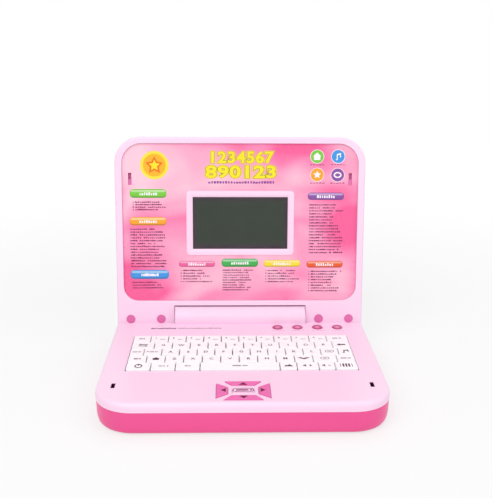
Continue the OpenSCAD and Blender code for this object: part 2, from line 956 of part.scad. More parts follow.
// side view of the lid: a rounded lower edge about the axis, open to the slab's own faces
module lid_side() {
    spare = 1;
    arc_start = 360 - acos((lid_y0 - spare) / barrel_r);
    arc_end = 325;
    steps = 18;
    lower_edge = [for (i = [0:steps])
        let (a = arc_start + (arc_end - arc_start) * i / steps)
            [barrel_r * cos(a), barrel_r * sin(a)]];
    end_slope = barrel_r * sin(-arc_end) / (lid_y1 - barrel_r * cos(arc_end));
    polygon(concat([[lid_y0 - spare, lid_h + 10]], lower_edge,
        [[lid_y1 + spare, spare * end_slope], [lid_y1 + spare, lid_h + 10]]));
}

module lid_solid() {
    intersection() {
        hull() {
            lid_slab(lid_y0, edge_r);
            lid_slab(lid_y0 + edge_r * 0.1, edge_r * 0.6);
            lid_slab(lid_y0 + edge_r * 0.4, edge_r * 0.2);
            lid_slab(lid_y0 + edge_r, 0);
            lid_slab(lid_y1 - lid_back_r, 0);
            lid_slab(lid_y1 - 0.3 * lid_back_r, 0.3 * lid_back_r);
            lid_slab(lid_y1 - eps, lid_back_r);
        }
        translate([-body_w / 2 - 1, 0, 0])
            rotate([90, 0, 90])
                linear_extrude(body_w + 2)
                    lid_side();
    }
}

module lid_cavity_plan() {
    difference() {
        lid_outline(wall + 1);
        translate([-body_w / 2, -30])
            square([body_w, 36]);
        square([notch_w + 2 * wall, 2 * (notch_s + wall)], center = true);
    }
}

module notch_cut() {
    translate([-notch_w / 2, -20, -20])
        cube([notch_w, 40, 20 + notch_s]);
}

module label_plan(gap) {
    w = label_w - 2 * gap;
    rt = label_top_r - gap;
    rl = label_low_r - gap;
    z0 = label_low + gap;
    z1 = label_high - gap;
    translate([-w / 2, z0 + rl])
        square([w, z1 - z0 - rl - rt]);
    translate([-w / 2 + rl, z0])
        square([w - 2 * rl, rl + eps]);
    translate([-w / 2 + rt, z1 - rt - eps])
        square([w - 2 * rt, rt + eps]);
    for (s = [-1, 1]) {
        translate([s * (w / 2 - rl), z0 + rl])
            circle(rl);
        translate([s * (w / 2 - rt), z1 - rt])
            circle(rt);
    }
}

module lid_slots() {
    both()
        translate([slot_x, lid_slot_s])
            square([slot_w, lid_slot_l], center = true);
}

module lid_front_frame() {
    color([0.99, 0.82, 0.94])
    on_hinge()
    difference() {
        union() {
            difference() {
                intersection() {
                    lid_solid();
                    translate([-body_w, lid_y0 - 1, -20])
                        cube([2 * body_w, lid_split + 1, lid_h + 40]);
                }
                standing(plate_y1, lid_y1)
                    lid_cavity_plan();
            }
            both()
                for (p = lid_screws_xs)
                    translate([p[0], 0, p[1]])
                        rotate([-90, 0, 0])
                            cylinder(h = split_y - 0.05, r = post_r - 0.4);
        }
        notch_cut();
        standing(lid_y0 - 1, plate_y0)
            label_plan(0);
        standing(lid_y0 - 1, lid_y1)
            translate([0, screen_s])
                square([neck_w + 0.3, neck_h + 0.3], center = true);
        standing(lid_y0 - 1, lid_y1)
            lid_slots();
        both()
            for (x = plugs_x)
                translate([x, lid_y0 - 1, plug_s])
                    rotate([-90, 0, 0])
                        cylinder(h = 2.4, r = plug_r + 0.15);
        // pin bores
        both()
            translate([notch_w / 2 + pin_in_lid / 2, 0, 0])
                x_rod(pin_r + pin_gap, pin_in_lid + 1);
        // way for the wires
        translate([notch_w / 2 + pin_in_lid - 0.5, -1, -1.4])
            cube([6, 10, 12]);
        both()
            for (p = lid_screws_xs)
                translate([p[0], plate_y0 + 0.4, p[1]])
                    rotate([-90, 0, 0])
                        cylinder(h = 20, r = screw_r + 0.05);
    }
}

module lid_back_cover() {
    color([0.99, 0.82, 0.94])
    on_hinge()
    difference() {
        union() {
            difference() {
                intersection() {
                    lid_solid();
                    translate([-body_w, split_y, -20])
                        cube([2 * body_w, lid_t, lid_h + 40]);
                }
                standing(plate_y1, lid_in_y1)
                    lid_cavity_plan();
            }
            both()
                for (p = lid_screws_xs)
                    translate([p[0], split_y, p[1]])
                        rotate([-90, 0, 0])
                            cylinder(h = lid_in_y1 + 0.5 - split_y, r = post_r);
        }
        notch_cut();
        both()
            for (p = lid_screws_xs)
                translate([p[0], split_y - 1, p[1]])
                    rotate([-90, 0, 0]) {
                        cylinder(h = 20, r = screw_r + 0.3);
                        translate([0, 0, lid_y1 - split_y + 1 - head_h])
                            cylinder(h = 10, r = head_r + 0.3);
                    }
        translate([notch_w / 2 + pin_in_lid - 0.5, -1, -1.4])
            cube([6, 6.6, 12]);
    }
}

module label_panel() {
    color([0.97, 0.6, 0.8])
    on_hinge()
        standing(label_y, plate_y0 - 0.02)
            difference() {
                label_plan(label_gap);
                translate([0, screen_s])
                    square([neck_w + 0.3, neck_h + 0.3], center = true);
                lid_slots();
            }
}

module screen_bezel() {
    color([0.99, 0.85, 0.95])
    on_hinge()
    difference() {
        union() {
            standing(bezel_y0, label_y - 0.02)
                translate([0, screen_s])
                    round_rect(bezel_w, bezel_h, bezel_r);
            standing(label_y - 0.5, plate_y1)
                translate([0, screen_s])
                    square([neck_w, neck_h], center = true);
        }
        standing(bezel_y0 - 1, lid_y1)
            translate([0, screen_s])
                square([screen_w, screen_h], center = true);
        standing(plate_y1 - window_t - 0.1, lid_y1)
            translate([0, screen_s])
                square([window_w + 0.3, window_h + 0.3], center = true);
    }
}

module screen_window() {
    color([0.75, 0.8, 0.8, 0.5])
    on_hinge()
        standing(plate_y1 - window_t - 0.08, plate_y1)
            translate([0, screen_s])
                square([window_w, window_h], center = true);
}

module screen_module() {
    color([0.3, 0.35, 0.32])
    on_hinge() {
        standing(module_y0, module_y0 + 1)
            translate([0, screen_s])
                square([screen_w + 8, screen_h + 8], center = true);
        standing(module_y0 + 1 - eps, module_y0 + module_t)
            translate([0, screen_s])
                square([screen_w + 5, screen_h + 5], center = true);
    }
}

module screen_board() {
    color([0.1, 0.4, 0.25])
    on_hinge() {
        standing(screen_board_y0, screen_board_y0 + board_t)
            translate([0, screen_s])
                square([screen_board_w, screen_h + 18], center = true);
        translate([0, screen_board_y0 + board_t - eps, screen_s])
            rotate([-90, 0, 0])
                cylinder(h = 1, r = 7);
    }
}

module lid_screws() {
    color([0.7, 0.7, 0.72])
    on_hinge()
    both()
        for (p = lid_screws_xs)
            translate([p[0], lid_y1 - head_h * 0.55, p[1]])
                rotate([90, 0, 0])
                    screw(lid_y1 - head_h * 0.55 - plate_y0 - 0.7);
}

module hinge_plugs() {
    color([0.85, 0.3, 0.6])
    on_hinge()
    both()
        for (x = plugs_x)
            translate([x, lid_y0 + 0.2, plug_s])
                rotate([-90, 0, 0])
                    cylinder(h = 1.15, r = plug_r);
}

// fixed catch behind each slot: its tongue fills the lower half of the slot
module latch_catches() {
    color([0.95, 0.6, 0.78])
    on_hinge()
    both()
        translate([slot_x, 0, lid_slot_s]) {
            translate([0, (label_y + 0.4 + plate_y1 + 2) / 2, -lid_slot_l / 4 - 0.1])
                cube([slot_w - 0.4, plate_y1 + 2 - label_y - 0.4, lid_slot_l / 2 - 0.4], center = true);
            translate([0, plate_y1 + 2, 0])
                cube([slot_w + 4, 1.4, lid_slot_l + 6], center = true);
            for (s = [-1, 1])
                translate([0, plate_y1 + 1, s * (lid_slot_l / 2 + 2)])
                    cube([slot_w + 4, 2, 2], center = true);
        }
}

module lid_wires() {
    x0 = notch_w / 2 + pin_in_lid + 2.6;
    first = [x0, 0.6, 0.6];
    bend = [x0, 5.6, first[2] + (5.6 - first[1]) / tan(30)];
    last = [x0, bend[1], screen_s - screen_h / 2 - 4.4];
    color([0.8, 0.2, 0.2])
    on_hinge() {
        for (p = [first, bend, last])
            translate(p)
                sphere(wire_r + eps);
        translate(first)
            rotate([-30, 0, 0])
                cylinder(h = norm(bend - first), r = wire_r);
        translate(bend)
            cylinder(h = last[2] - bend[2], r = wire_r);
        translate([screen_board_w / 2 + 0.02, last[1], last[2]])
            rotate([0, 90, 0])
                cylinder(h = x0 - screen_board_w / 2, r = wire_r);
    }
}

// ---- the chosen node, or all of them ----

base_bottom_case();
base_top_deck();
battery_door();
battery_door_screw();
battery_cells();
battery_contacts();
speaker();
main_board();
key_board();
key_mat();
key_guide_plate();
rubber_feet();
case_screws();
mouse_socket();
hinge_pins();
hinge_wires();
button_1();
button_2();
button_3();
button_4();
pad_up();
pad_down();
pad_left();
pad_right();
pad_enter();
lid_front_frame();
lid_back_cover();
label_panel();
screen_bezel();
screen_window();
screen_module();
screen_board();
lid_screws();
hinge_plugs();
latch_catches();
lid_wires();
for (k = key_nodes)
    key_node(k);
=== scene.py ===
# %% [markdown]
# # A toy laptop computer, lid open
#
# The solids of this laptop come packed, at their real size, from a CAD model. Blender gives them their
# finish: moulded plastic, printed label, legends, glass and light. Each step first says what the real
# piece is, how it could be made, and why it is made this way. Lengths are in metres, and MM turns
# millimetres into metres.

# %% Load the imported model
import json
import math
import random

import bmesh
import bpy
from mathutils import Matrix, Vector

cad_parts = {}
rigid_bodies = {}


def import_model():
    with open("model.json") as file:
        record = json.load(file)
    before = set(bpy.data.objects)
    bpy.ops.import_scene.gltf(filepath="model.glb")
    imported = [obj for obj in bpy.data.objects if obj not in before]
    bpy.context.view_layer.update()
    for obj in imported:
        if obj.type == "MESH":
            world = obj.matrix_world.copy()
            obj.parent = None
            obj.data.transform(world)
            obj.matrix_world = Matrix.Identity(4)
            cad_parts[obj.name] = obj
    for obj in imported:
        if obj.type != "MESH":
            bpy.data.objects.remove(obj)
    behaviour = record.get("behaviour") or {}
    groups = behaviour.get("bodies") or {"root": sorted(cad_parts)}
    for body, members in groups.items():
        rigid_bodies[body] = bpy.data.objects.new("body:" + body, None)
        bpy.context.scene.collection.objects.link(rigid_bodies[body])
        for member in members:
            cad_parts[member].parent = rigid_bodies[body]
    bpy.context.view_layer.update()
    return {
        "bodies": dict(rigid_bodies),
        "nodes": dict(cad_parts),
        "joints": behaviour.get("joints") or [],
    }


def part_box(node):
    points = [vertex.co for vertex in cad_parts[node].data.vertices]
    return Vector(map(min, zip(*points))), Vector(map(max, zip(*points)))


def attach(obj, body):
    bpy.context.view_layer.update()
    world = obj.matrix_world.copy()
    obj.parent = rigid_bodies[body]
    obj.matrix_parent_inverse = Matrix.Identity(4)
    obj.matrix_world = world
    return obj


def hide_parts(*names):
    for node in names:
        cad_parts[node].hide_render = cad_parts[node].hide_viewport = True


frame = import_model()
nodes = frame["nodes"]
MM = 0.001

# %% [markdown]
# ## Where things are
#
# Everything on the lid is drawn on an upright sheet, with x across, y into the lid and z up the lid, and
# is then leaned back about the hinge. The deck gets the same kind of sheet, lying flat, so one set of
# drawing helpers serves both. The hinge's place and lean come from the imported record, and heights from
# the solids.

# %% Sheets to draw on
hinge_joint = next(j for j in frame["joints"] if j["name"] == "lid_hinge")
hinge = Vector(hinge_joint["pos_m"])
lean = math.radians(hinge_joint["range_deg"][1] - 90)
lid_sheet = Matrix.Translation(hinge) @ Matrix.Rotation(-lean, 4, "X")


def box_of(points):
    """Lowest and highest corner of some points."""
    points = list(points)
    return tuple(Vector([pick(p[i] for p in points) for i in range(3)]) for pick in (min, max))


def box_on(sheet, node):
    """Lowest and highest corner of a CAD node, measured on a sheet."""
    to_sheet = sheet.inverted()
    return box_of(to_sheet @ v.co for v in nodes[node].data.vertices)


label_low, label_high = box_on(lid_sheet, "label_panel")
label_face = label_low.y
KEY_PROUD = 1.2 * MM
deck_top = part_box("key_space")[1].z - KEY_PROUD
deck_sheet = Matrix.Translation((0, 0, deck_top)) @ Matrix.Rotation(-math.pi / 2, 4, "X")
print("label", (label_high - label_low) / MM, "mm, deck top", round(deck_top / MM, 2), "mm")

# %% [markdown]
# ## The camera
#
# The camera stands in front of the laptop, a little above it and a finger's width to the left, and looks
# slightly down. Its place follows from how the sides of base and lid run together towards the back. The
# lens is a little longer than a normal one, which fits that place.

# %% Camera
CAMERA_PLACE = (-0.0148, -0.6859, 0.3332)
CAMERA_PITCH, CAMERA_YAW, CAMERA_ROLL = math.radians(73.4), math.radians(-1.54), math.radians(0.41)
LENS = 57.27

camera_data = bpy.data.cameras.new("camera")
camera_data.lens = LENS
camera_data.sensor_width = 36
camera_data.sensor_fit = "AUTO"
camera_data.clip_start = 0.01
camera = bpy.data.objects.new("camera", camera_data)
aim = Matrix.Rotation(CAMERA_YAW, 4, "Z") @ Matrix.Rotation(CAMERA_PITCH, 4, "X")
camera.matrix_world = Matrix.Translation(CAMERA_PLACE) @ aim @ Matrix.Rotation(CAMERA_ROLL, 4, "Z")
bpy.context.scene.collection.objects.link(camera)
bpy.context.scene.camera = camera
print("camera", [round(v, 3) for v in camera.matrix_world.translation])

# %% [markdown]
# ## Building node trees
#
# Sky, floor and every material are node trees. Two helpers build them: one sets or links the inputs of a
# node, and the other makes the node first. An input is named with _ for each space, or is numbered, as in
# _0, where several inputs share a name. Three more make what every tree needs: a sum, a noise and a new
# range. Colours are written as screen colours and turned into linear ones.

# %% Node and colour helpers


def fill(tree, node, **links):
    """Sets or links inputs of a node, by name or by number."""
    for key, value in links.items():
        socket = node.inputs[int(key[1:]) if key[1:].isdigit() else key.replace("_", " ")]
        if isinstance(value, bpy.types.NodeSocket):
            tree.links.new(value, socket)
        else:
            socket.default_value = value
    return node


def add(tree, kind, settings=None, **links):
    """Adds a node, sets its properties, and sets or links its inputs."""
    made = tree.nodes.new(kind)
    for key, value in (settings or {}).items():
        setattr(made, key, value)
    return fill(tree, made, **links)


def calculated(tree, operation, *values):
    """The result of a Math node."""
    links = {"_%d" % i: value for i, value in enumerate(values)}
    return add(tree, "ShaderNodeMath", {"operation": operation}, **links).outputs[0]


def noise(tree, place, scale, detail=2.0, **more):
    """Soft random values from 0 to 1 over a place."""
    return add(tree, "ShaderNodeTexNoise", Vector=place, Scale=scale, Detail=detail, **more).outputs["Fac"]


def ranged(tree, value, low, high, settings=None, **more):
    """A value from 0 to 1, moved to run from low to high."""
    return add(tree, "ShaderNodeMapRange", settings, Value=value, To_Min=low, To_Max=high, **more).outputs[0]


def empty_tree(owner):
    """The node tree of a world or material, emptied."""
    owner.use_nodes = True
    owner.node_tree.nodes.clear()
    return owner.node_tree


def srgb(red, green, blue):
    """A screen colour, 0 to 255, as the linear colour that shaders use."""
    def linear(value):
        value /= 255
        return value / 12.92 if value <= 0.04045 else ((value + 0.055) / 1.055) ** 2.4
    return linear(red), linear(green), linear(blue), 1.0


WHITE = srgb(255, 255, 255)
SMOOTH = {"interpolation_type": "SMOOTHSTEP"}
print("white is", WHITE)

# %% [markdown]
# ## Light and floor
#
# Large soft lamps light a product evenly. Three wide area lamps and a pale sky give about the brightness at
# which a colour renders as it is written. The floor is white to the camera, but it keeps the laptop's soft
# shadow, because near the laptop only part of what the camera sees of it shines by itself. That part grows
# with the distance, so the floor meets the white sky without a line.

# %% Lamps
bpy.context.scene.view_settings.view_transform = "Standard"
LAMP_AIM = Vector((0, 0, 0.08))
lamps = (("key_lamp", (-0.7, -1.1, 1.3), 1.2, 14), ("fill_lamp", (1.1, -0.9, 0.9), 1.4, 7.4),
         ("rear_lamp", (0.2, 0.5, 1.6), 1.2, 5.2))
for name, place, size, power in lamps:
    data = bpy.data.lights.new(name, "AREA")
    data.size, data.energy = size, power
    lamp = bpy.data.objects.new(name, data)
    lamp.location = place
    lamp.rotation_euler = (LAMP_AIM - Vector(place)).to_track_quat("-Z", "Y").to_euler()
    bpy.context.scene.collection.objects.link(lamp)
print(len(lamps), "lamps")

# %% Sky and floor
SKY_LEVEL, FLOOR_GREY = 0.49, 0.88
FLOOR_HALF = 3.0
NEAR_SHARE, FAR_SHARE = 0.7, 1.0
NEAR_REACH, FAR_REACH = 0.25, 0.8


def seen_by_camera(tree):
    """1 where the camera looks, also in a gloss or through glass, and 0 for the light on the laptop."""
    rays = add(tree, "ShaderNodeLightPath").outputs
    seen = rays["Is Camera Ray"]
    for kind in ("Is Glossy Ray", "Is Transmission Ray"):
        seen = calculated(tree, "MAXIMUM", seen, rays[kind])
    return seen


world = bpy.data.worlds.new("sky")
bpy.context.scene.world = world
tree = empty_tree(world)
lit = add(tree, "ShaderNodeBackground", Color=WHITE, Strength=SKY_LEVEL)
white = add(tree, "ShaderNodeBackground", Color=WHITE, Strength=1.0)
choose = add(tree, "ShaderNodeMixShader", _0=seen_by_camera(tree), _1=lit.outputs[0],
             _2=white.outputs[0])
add(tree, "ShaderNodeOutputWorld", Surface=choose.outputs[0])

floor_paint = bpy.data.materials.new("floor_white")
tree = empty_tree(floor_paint)
spot = add(tree, "ShaderNodeTexCoord").outputs["Object"]
reach = add(tree, "ShaderNodeVectorMath", {"operation": "LENGTH"}, _0=spot).outputs["Value"]
fade = ranged(tree, reach, NEAR_SHARE, FAR_SHARE, SMOOTH, From_Min=NEAR_REACH, From_Max=FAR_REACH)
share = calculated(tree, "MULTIPLY", seen_by_camera(tree), fade)
matt = add(tree, "ShaderNodeBsdfDiffuse", Color=(FLOOR_GREY, FLOOR_GREY, FLOOR_GREY, 1))
glow = add(tree, "ShaderNodeEmission", Color=WHITE, Strength=1.0)
mix = add(tree, "ShaderNodeMixShader", _0=share, _1=matt.outputs[0], _2=glow.outputs[0])
add(tree, "ShaderNodeOutputMaterial", Surface=mix.outputs[0])

floor_mesh = bpy.data.meshes.new("floor")
corners = [(x * FLOOR_HALF, y * FLOOR_HALF, 0) for x, y in ((-1, -1), (1, -1), (1, 1), (-1, 1))]
floor_mesh.from_pydata(corners, [], [(0, 1, 2, 3)])
floor_mesh.materials.append(floor_paint)
floor = bpy.data.objects.new("floor", floor_mesh)
bpy.context.scene.collection.objects.link(floor)
print("floor", 2 * FLOOR_HALF, "m wide")

# %% [markdown]
# ## Moulded plastic
#
# Toy plastic is coloured all through, so it has one colour with faint flow marks, a fine grain from the
# mould and a gloss that is a little uneven. That effect is on every plastic piece, so it is one node
# group, and each material gives it its own colours, grain size and gloss.

# %% The moulded plastic group
COLOR, FLOAT = "NodeSocketColor", "NodeSocketFloat"


def new_group(name, inputs, outputs):
    """An empty shader node group with named sockets."""
    group = bpy.data.node_groups.new(name, "ShaderNodeTree")
    for label, kind, value in inputs:
        socket = group.interface.new_socket(label, in_out="INPUT", socket_type=kind)
        socket.default_value = value
    for label, kind in outputs:
        group.interface.new_socket(label, in_out="OUTPUT", socket_type=kind)
    return group, add(group, "NodeGroupInput").outputs, add(group, "NodeGroupOutput")


plastic_group, given, result = new_group(
    "moulded_plastic",
    [("Color", COLOR, (0.8, 0.8, 0.8, 1)), ("Flow Color", COLOR, (0.7, 0.7, 0.7, 1)),
     ("Flow Scale", FLOAT, 14.0), ("Grain Scale", FLOAT, 1400.0), ("Roughness", FLOAT, 0.4)],
    [("Color", COLOR), ("Roughness", FLOAT), ("Height", FLOAT)],
)
place = add(plastic_group, "ShaderNodeTexCoord").outputs["Object"]
flow = noise(plastic_group, place, given["Flow Scale"], 3.0, Distortion=0.6)
grain = noise(plastic_group, place, given["Grain Scale"])
tint = add(plastic_group, "ShaderNodeMix", {"data_type": "RGBA"}, _0=flow, _6=given["Color"],
           _7=given["Flow Color"])
gloss = calculated(plastic_group, "ADD", given["Roughness"], ranged(plastic_group, flow, -0.05, 0.05))
fill(plastic_group, result, Color=tint.outputs[2], Roughness=gloss, Height=grain)
print(plastic_group.name, "has", len(plastic_group.nodes), "nodes")

# %% The plastics
PLASTIC_IOR = 1.49


def shaded(name):
    """A new material with a Principled shader."""
    material = bpy.data.materials.new(name)
    material.use_nodes = True
    return material, material.node_tree, material.node_tree.nodes["Principled BSDF"]


def plastic(name, color, flow_color, roughness, grain_scale=1400.0, grain_height=0.02, coat=0.0):
    """A moulded plastic in one colour with faint flow marks."""
    material, tree, shader = shaded(name)
    effect = add(tree, "ShaderNodeGroup", {"node_tree": plastic_group}, Color=srgb(*color),
                 Flow_Color=srgb(*flow_color), Grain_Scale=grain_scale, Roughness=roughness).outputs
    bump = add(tree, "ShaderNodeBump", Height=effect["Height"], Distance=grain_height * MM, Strength=1.0)
    fill(tree, shader, Base_Color=effect["Color"], Roughness=effect["Roughness"],
         Normal=bump.outputs["Normal"], IOR=PLASTIC_IOR, Coat_Weight=coat)
    return material


pale_pink = plastic("case_pink_pale", (251, 218, 240), (250, 212, 236), 0.3)
deep_pink = plastic("case_pink_dark", (240, 84, 152), (235, 72, 142), 0.34)
button_pink = plastic("button_pink", (200, 84, 138), (190, 74, 128), 0.3)
plug_pink = plastic("plug_pink", (228, 118, 178), (220, 106, 168), 0.34)
dish_pink = plastic("button_dish_pink", (232, 150, 188), (226, 138, 178), 0.3)
key_white = plastic("key_white", (254, 254, 255), (251, 250, 253), 0.42, 1800.0)
inner_plastic = plastic("inner_plastic", (238, 205, 224), (230, 196, 216), 0.5)
soft_silicone = plastic("silicone", (214, 216, 222), (204, 206, 214), 0.6)
foot_rubber = plastic("foot_rubber", (66, 66, 70), (56, 56, 60), 0.75, 900.0, 0.05)
black_plastic = plastic("black_plastic", (34, 34, 38), (26, 26, 30), 0.4)
speaker_paper = plastic("speaker_paper", (52, 50, 54), (40, 38, 42), 0.8, 500.0, 0.08)
wire_red = plastic("wire_red", (196, 40, 44), (178, 30, 36), 0.45)
cell_jacket = plastic("cell_jacket", (38, 92, 66), (28, 78, 54), 0.3, 300.0, 0.01, coat=0.4)
print(len(bpy.data.materials), "materials so far")

# %% [markdown]
# ## Metal, circuit board, glass and display
#
# Screws and contacts are bright steel with fine turning marks. A circuit board is green lacquer over
# copper tracks, which a brick pattern stands for. The window is clear plastic, so the display behind it
# shows: a grey-green liquid crystal panel with a fine grid of dots and a violet rim where light leaks.

# %% Metal and circuit board
SMOOTHEST, ROUGHEST = 0.7, 1.4


def steel(name, color, roughness):
    """Bright metal with fine marks from the tool."""
    material, tree, shader = shaded(name)
    place = add(tree, "ShaderNodeTexCoord").outputs["Object"]
    marks = noise(tree, place, 2600.0)
    rough = ranged(tree, marks, roughness * SMOOTHEST, roughness * ROUGHEST)
    bump = add(tree, "ShaderNodeBump", Height=marks, Distance=0.01 * MM, Strength=1.0)
    fill(tree, shader, Base_Color=srgb(*color), Metallic=1.0, Roughness=rough,
         Normal=bump.outputs["Normal"])
    return material


screw_steel = steel("screw_steel", (196, 198, 204), 0.28)
contact_steel = steel("contact_steel", (224, 226, 230), 0.22)

board_green, tree, shader = shaded("board_green")
place = add(tree, "ShaderNodeTexCoord").outputs["Object"]
tracks = add(tree, "ShaderNodeTexBrick", {"offset": 0.5}, Vector=place, Scale=160.0, Mortar_Size=0.06,
             Color1=srgb(16, 92, 58), Color2=srgb(20, 104, 66), Mortar=srgb(44, 136, 92)).outputs
lacquer = add(tree, "ShaderNodeBump", Height=tracks["Fac"], Distance=0.03 * MM, Strength=1.0)
fill(tree, shader, Base_Color=tracks["Color"], Normal=lacquer.outputs["Normal"], Roughness=0.3)
print("steel and board ready")

# %% Window and display
WINDOW_IOR = 1.22
GLASS_HIDDEN = 1.8 * MM
RIM_OUT, RIM_IN = 2.2 * MM, 4.2 * MM

clear_window, tree, shader = shaded("screen_clear")
place = add(tree, "ShaderNodeTexCoord").outputs["Object"]
haze = ranged(tree, noise(tree, place, 30.0, 3.0), 0.02, 0.1)
fill(tree, shader, Base_Color=WHITE, Roughness=haze, Transmission_Weight=1.0, IOR=WINDOW_IOR)

window_low, window_high = box_on(lid_sheet, "screen_window")
screen_middle = lid_sheet @ Vector((0, 0, (window_low.z + window_high.z) / 2))
screen_half = (window_high - window_low) / 2 - Vector((GLASS_HIDDEN, 0, GLASS_HIDDEN))

display, tree, shader = shaded("screen_grey")
place = add(tree, "ShaderNodeTexCoord").outputs["Object"]
spot = add(tree, "ShaderNodeVectorMath", {"operation": "SUBTRACT"}, _0=place, _1=screen_middle)
axes = add(tree, "ShaderNodeSeparateXYZ", Vector=spot.outputs[0])
dots = add(tree, "ShaderNodeTexBrick", {"offset": 0.0}, Vector=place, Scale=900.0, Mortar_Size=0.08,
           Color1=srgb(45, 57, 43), Color2=srgb(42, 54, 41), Mortar=srgb(40, 50, 40),
           Brick_Width=1.0, Row_Height=1.0)
reach = []
for axis, half in (("X", screen_half.x), ("Z", screen_half.z)):
    out = calculated(tree, "ABSOLUTE", axes.outputs[axis])
    reach.append(ranged(tree, out, 0.0, 1.0, From_Min=half - RIM_IN, From_Max=half - RIM_OUT))
glass_color = add(tree, "ShaderNodeMix", {"data_type": "RGBA"}, _0=calculated(tree, "MAXIMUM", *reach),
                  _6=dots.outputs["Color"], _7=srgb(62, 44, 57))
fill(tree, shader, Base_Color=glass_color.outputs[2], Roughness=0.45, Specular_IOR_Level=0.25)
print("display", round(2 * screen_half.x / MM, 1), "mm wide")

# %% [markdown]
# ## The printed label
#
# The label is a glossy printed sheet: soft clouds that run from pale to hot pink, with light streaks. Its
# pattern follows two noises, one round and one stretched along a slant, and a few wide soft spots that
# make it darker or paler. A colour ramp turns the sum into inks. All of it is made on the coordinates of
# the solid, so it stays put from every side.

# %% Label print
label_print, tree, shader = shaded("label_print")
place = add(tree, "ShaderNodeTexCoord").outputs["Object"]
slanted = add(tree, "ShaderNodeMapping", Vector=place, Location=(0.02, 0, -0.02), Rotation=(0, 0.55, 0),
              Scale=(1.0, 0.2, 2.6))
clouds = noise(tree, place, 13.0, 1.5, Roughness=0.45, Distortion=0.9)
streaks = noise(tree, slanted.outputs[0], 9.0, Roughness=0.45, Distortion=0.5)
tone = add(tree, "ShaderNodeMix", {"data_type": "FLOAT"}, _0=0.5, _2=clouds, _3=streaks).outputs[0]
# place x and s on the lid and reach, in mm, and how much darker the spot's middle is
tone_spots = ((58, 172, 52, 0.26), (118, 92, 62, 0.28), (-104, 26, 66, 0.18), (0, 97, 92, -0.08),
              (84, 18, 70, -0.08), (-112, 160, 60, -0.08), (60, 150, 30, -0.08))
for x, s, reach, strength in tone_spots:
    offset = add(tree, "ShaderNodeVectorMath", {"operation": "DISTANCE"}, _0=place,
                 _1=lid_sheet @ Vector((x * MM, label_face, s * MM)))
    soft = ranged(tree, offset.outputs["Value"], 0.0, strength, SMOOTH, From_Min=reach * MM, From_Max=0.0)
    tone = calculated(tree, "ADD", tone, soft)
inks = add(tree, "ShaderNodeValToRGB", Fac=tone)
stops = ((0.34, (253, 202, 218)), (0.455, (252, 174, 201)), (0.555, (249, 142, 184)),
         (0.66, (243, 96, 152)))
ramp = inks.color_ramp.elements
ramp[0].position, ramp[-1].position = stops[0][0], stops[-1][0]
for position, _ in stops[1:-1]:
    ramp.new(position)
for element, (_, color) in zip(ramp, stops):
    element.color = srgb(*color)
film_gloss = ranged(tree, noise(tree, place, 60.0), 0.22, 0.34)
fill(tree, shader, Base_Color=inks.outputs["Color"], Roughness=film_gloss, IOR=PLASTIC_IOR)
print("label print has", len(ramp), "inks")

# %% Inks for the printed shapes
ink_group, given, result = new_group(
    "printed_ink",
    [("Color", COLOR, (0.5, 0.5, 0.5, 1)), ("Low Color", COLOR, (0.4, 0.4, 0.4, 1)),
     ("Spread", FLOAT, 90.0)],
    [("Color", COLOR), ("Roughness", FLOAT)],
)
place = add(ink_group, "ShaderNodeTexCoord").outputs["Object"]
patch = noise(ink_group, place, given["Spread"])
ink_mix = add(ink_group, "ShaderNodeMix", {"data_type": "RGBA"}, _0=patch, _6=given["Color"],
              _7=given["Low Color"])
fill(ink_group, result, Color=ink_mix.outputs[2], Roughness=ranged(ink_group, patch, 0.24, 0.36))


def ink(name, color, low_color, spread=90.0):
    """A printing ink that varies a little between two tones."""
    material, tree, shader = shaded(name)
    effect = add(tree, "ShaderNodeGroup", {"node_tree": ink_group}, Color=srgb(*color),
                 Low_Color=srgb(*low_color), Spread=spread).outputs
    fill(tree, shader, Base_Color=effect["Color"], Roughness=effect["Roughness"])
    return material


ink_yellow = ink("ink_yellow", (254, 236, 40), (250, 220, 20))
ink_green_line = ink("ink_green_line", (168, 178, 40), (140, 160, 40))
ink_orange_line = ink("ink_orange_line", (250, 214, 120), (246, 190, 100))
ink_white = ink("ink_white", (255, 250, 252), (250, 240, 246))
ink_violet = ink("ink_violet", (140, 60, 150), (120, 50, 140))
ink_text = ink("ink_text", (112, 26, 86), (92, 20, 74))
# dark ink for painted shade: it lines the deck's latch slots and the lid's notch round the hinge block,
# where there is only shade
ink_seam = ink("ink_seam", (104, 34, 78), (92, 28, 70))
ink_legend = ink("ink_legend", (66, 54, 68), (54, 44, 56))
ink_bold = ink("ink_bold", (44, 34, 46), (34, 26, 36))
ink_caption = ink("ink_caption", (196, 120, 160), (184, 108, 150))
ink_line = ink("ink_line", (156, 56, 124), (140, 46, 110))
ink_maroon = ink("ink_maroon", (112, 8, 62), (96, 6, 52))
ink_badge = ink("ink_badge", (250, 196, 36), (244, 170, 30), 60.0)
ink_badge_rim = ink("ink_badge_rim", (254, 230, 70), (252, 222, 56))
ink_badge_mark = ink("ink_badge_mark", (240, 120, 20), (232, 100, 20))
tag_colors = {
    "green": (122, 208, 60), "orange": (252, 168, 40), "blue": (62, 154, 232), "rose": (240, 100, 160),
    "leaf": (60, 180, 78), "yellow": (252, 224, 50), "red": (240, 92, 40), "purple": (140, 82, 168),
}
# how far a tag's painted highlight goes towards white, and how much darker its painted shade is
TAG_HIGHLIGHT, TAG_SHADE = 0.5, 0.8


def tag_tones(name, color):
    """The ink of a tag, with a lighter ink as a painted highlight along its upper edge and a darker one as
    painted shade along its lower edge.
    """
    light = tuple(value + (255 - value) * TAG_HIGHLIGHT for value in color)
    dark = tuple(value * TAG_SHADE for value in color)
    return [ink("ink_%s%s" % (name, kind), tone, tuple(value * 0.94 for value in tone), 150.0)
            for kind, tone in (("", color), ("_light", light), ("_dark", dark))]


tag_inks = {name: tag_tones(name, color) for name, color in tag_colors.items()}
print(len(tag_inks), "colours of tags")

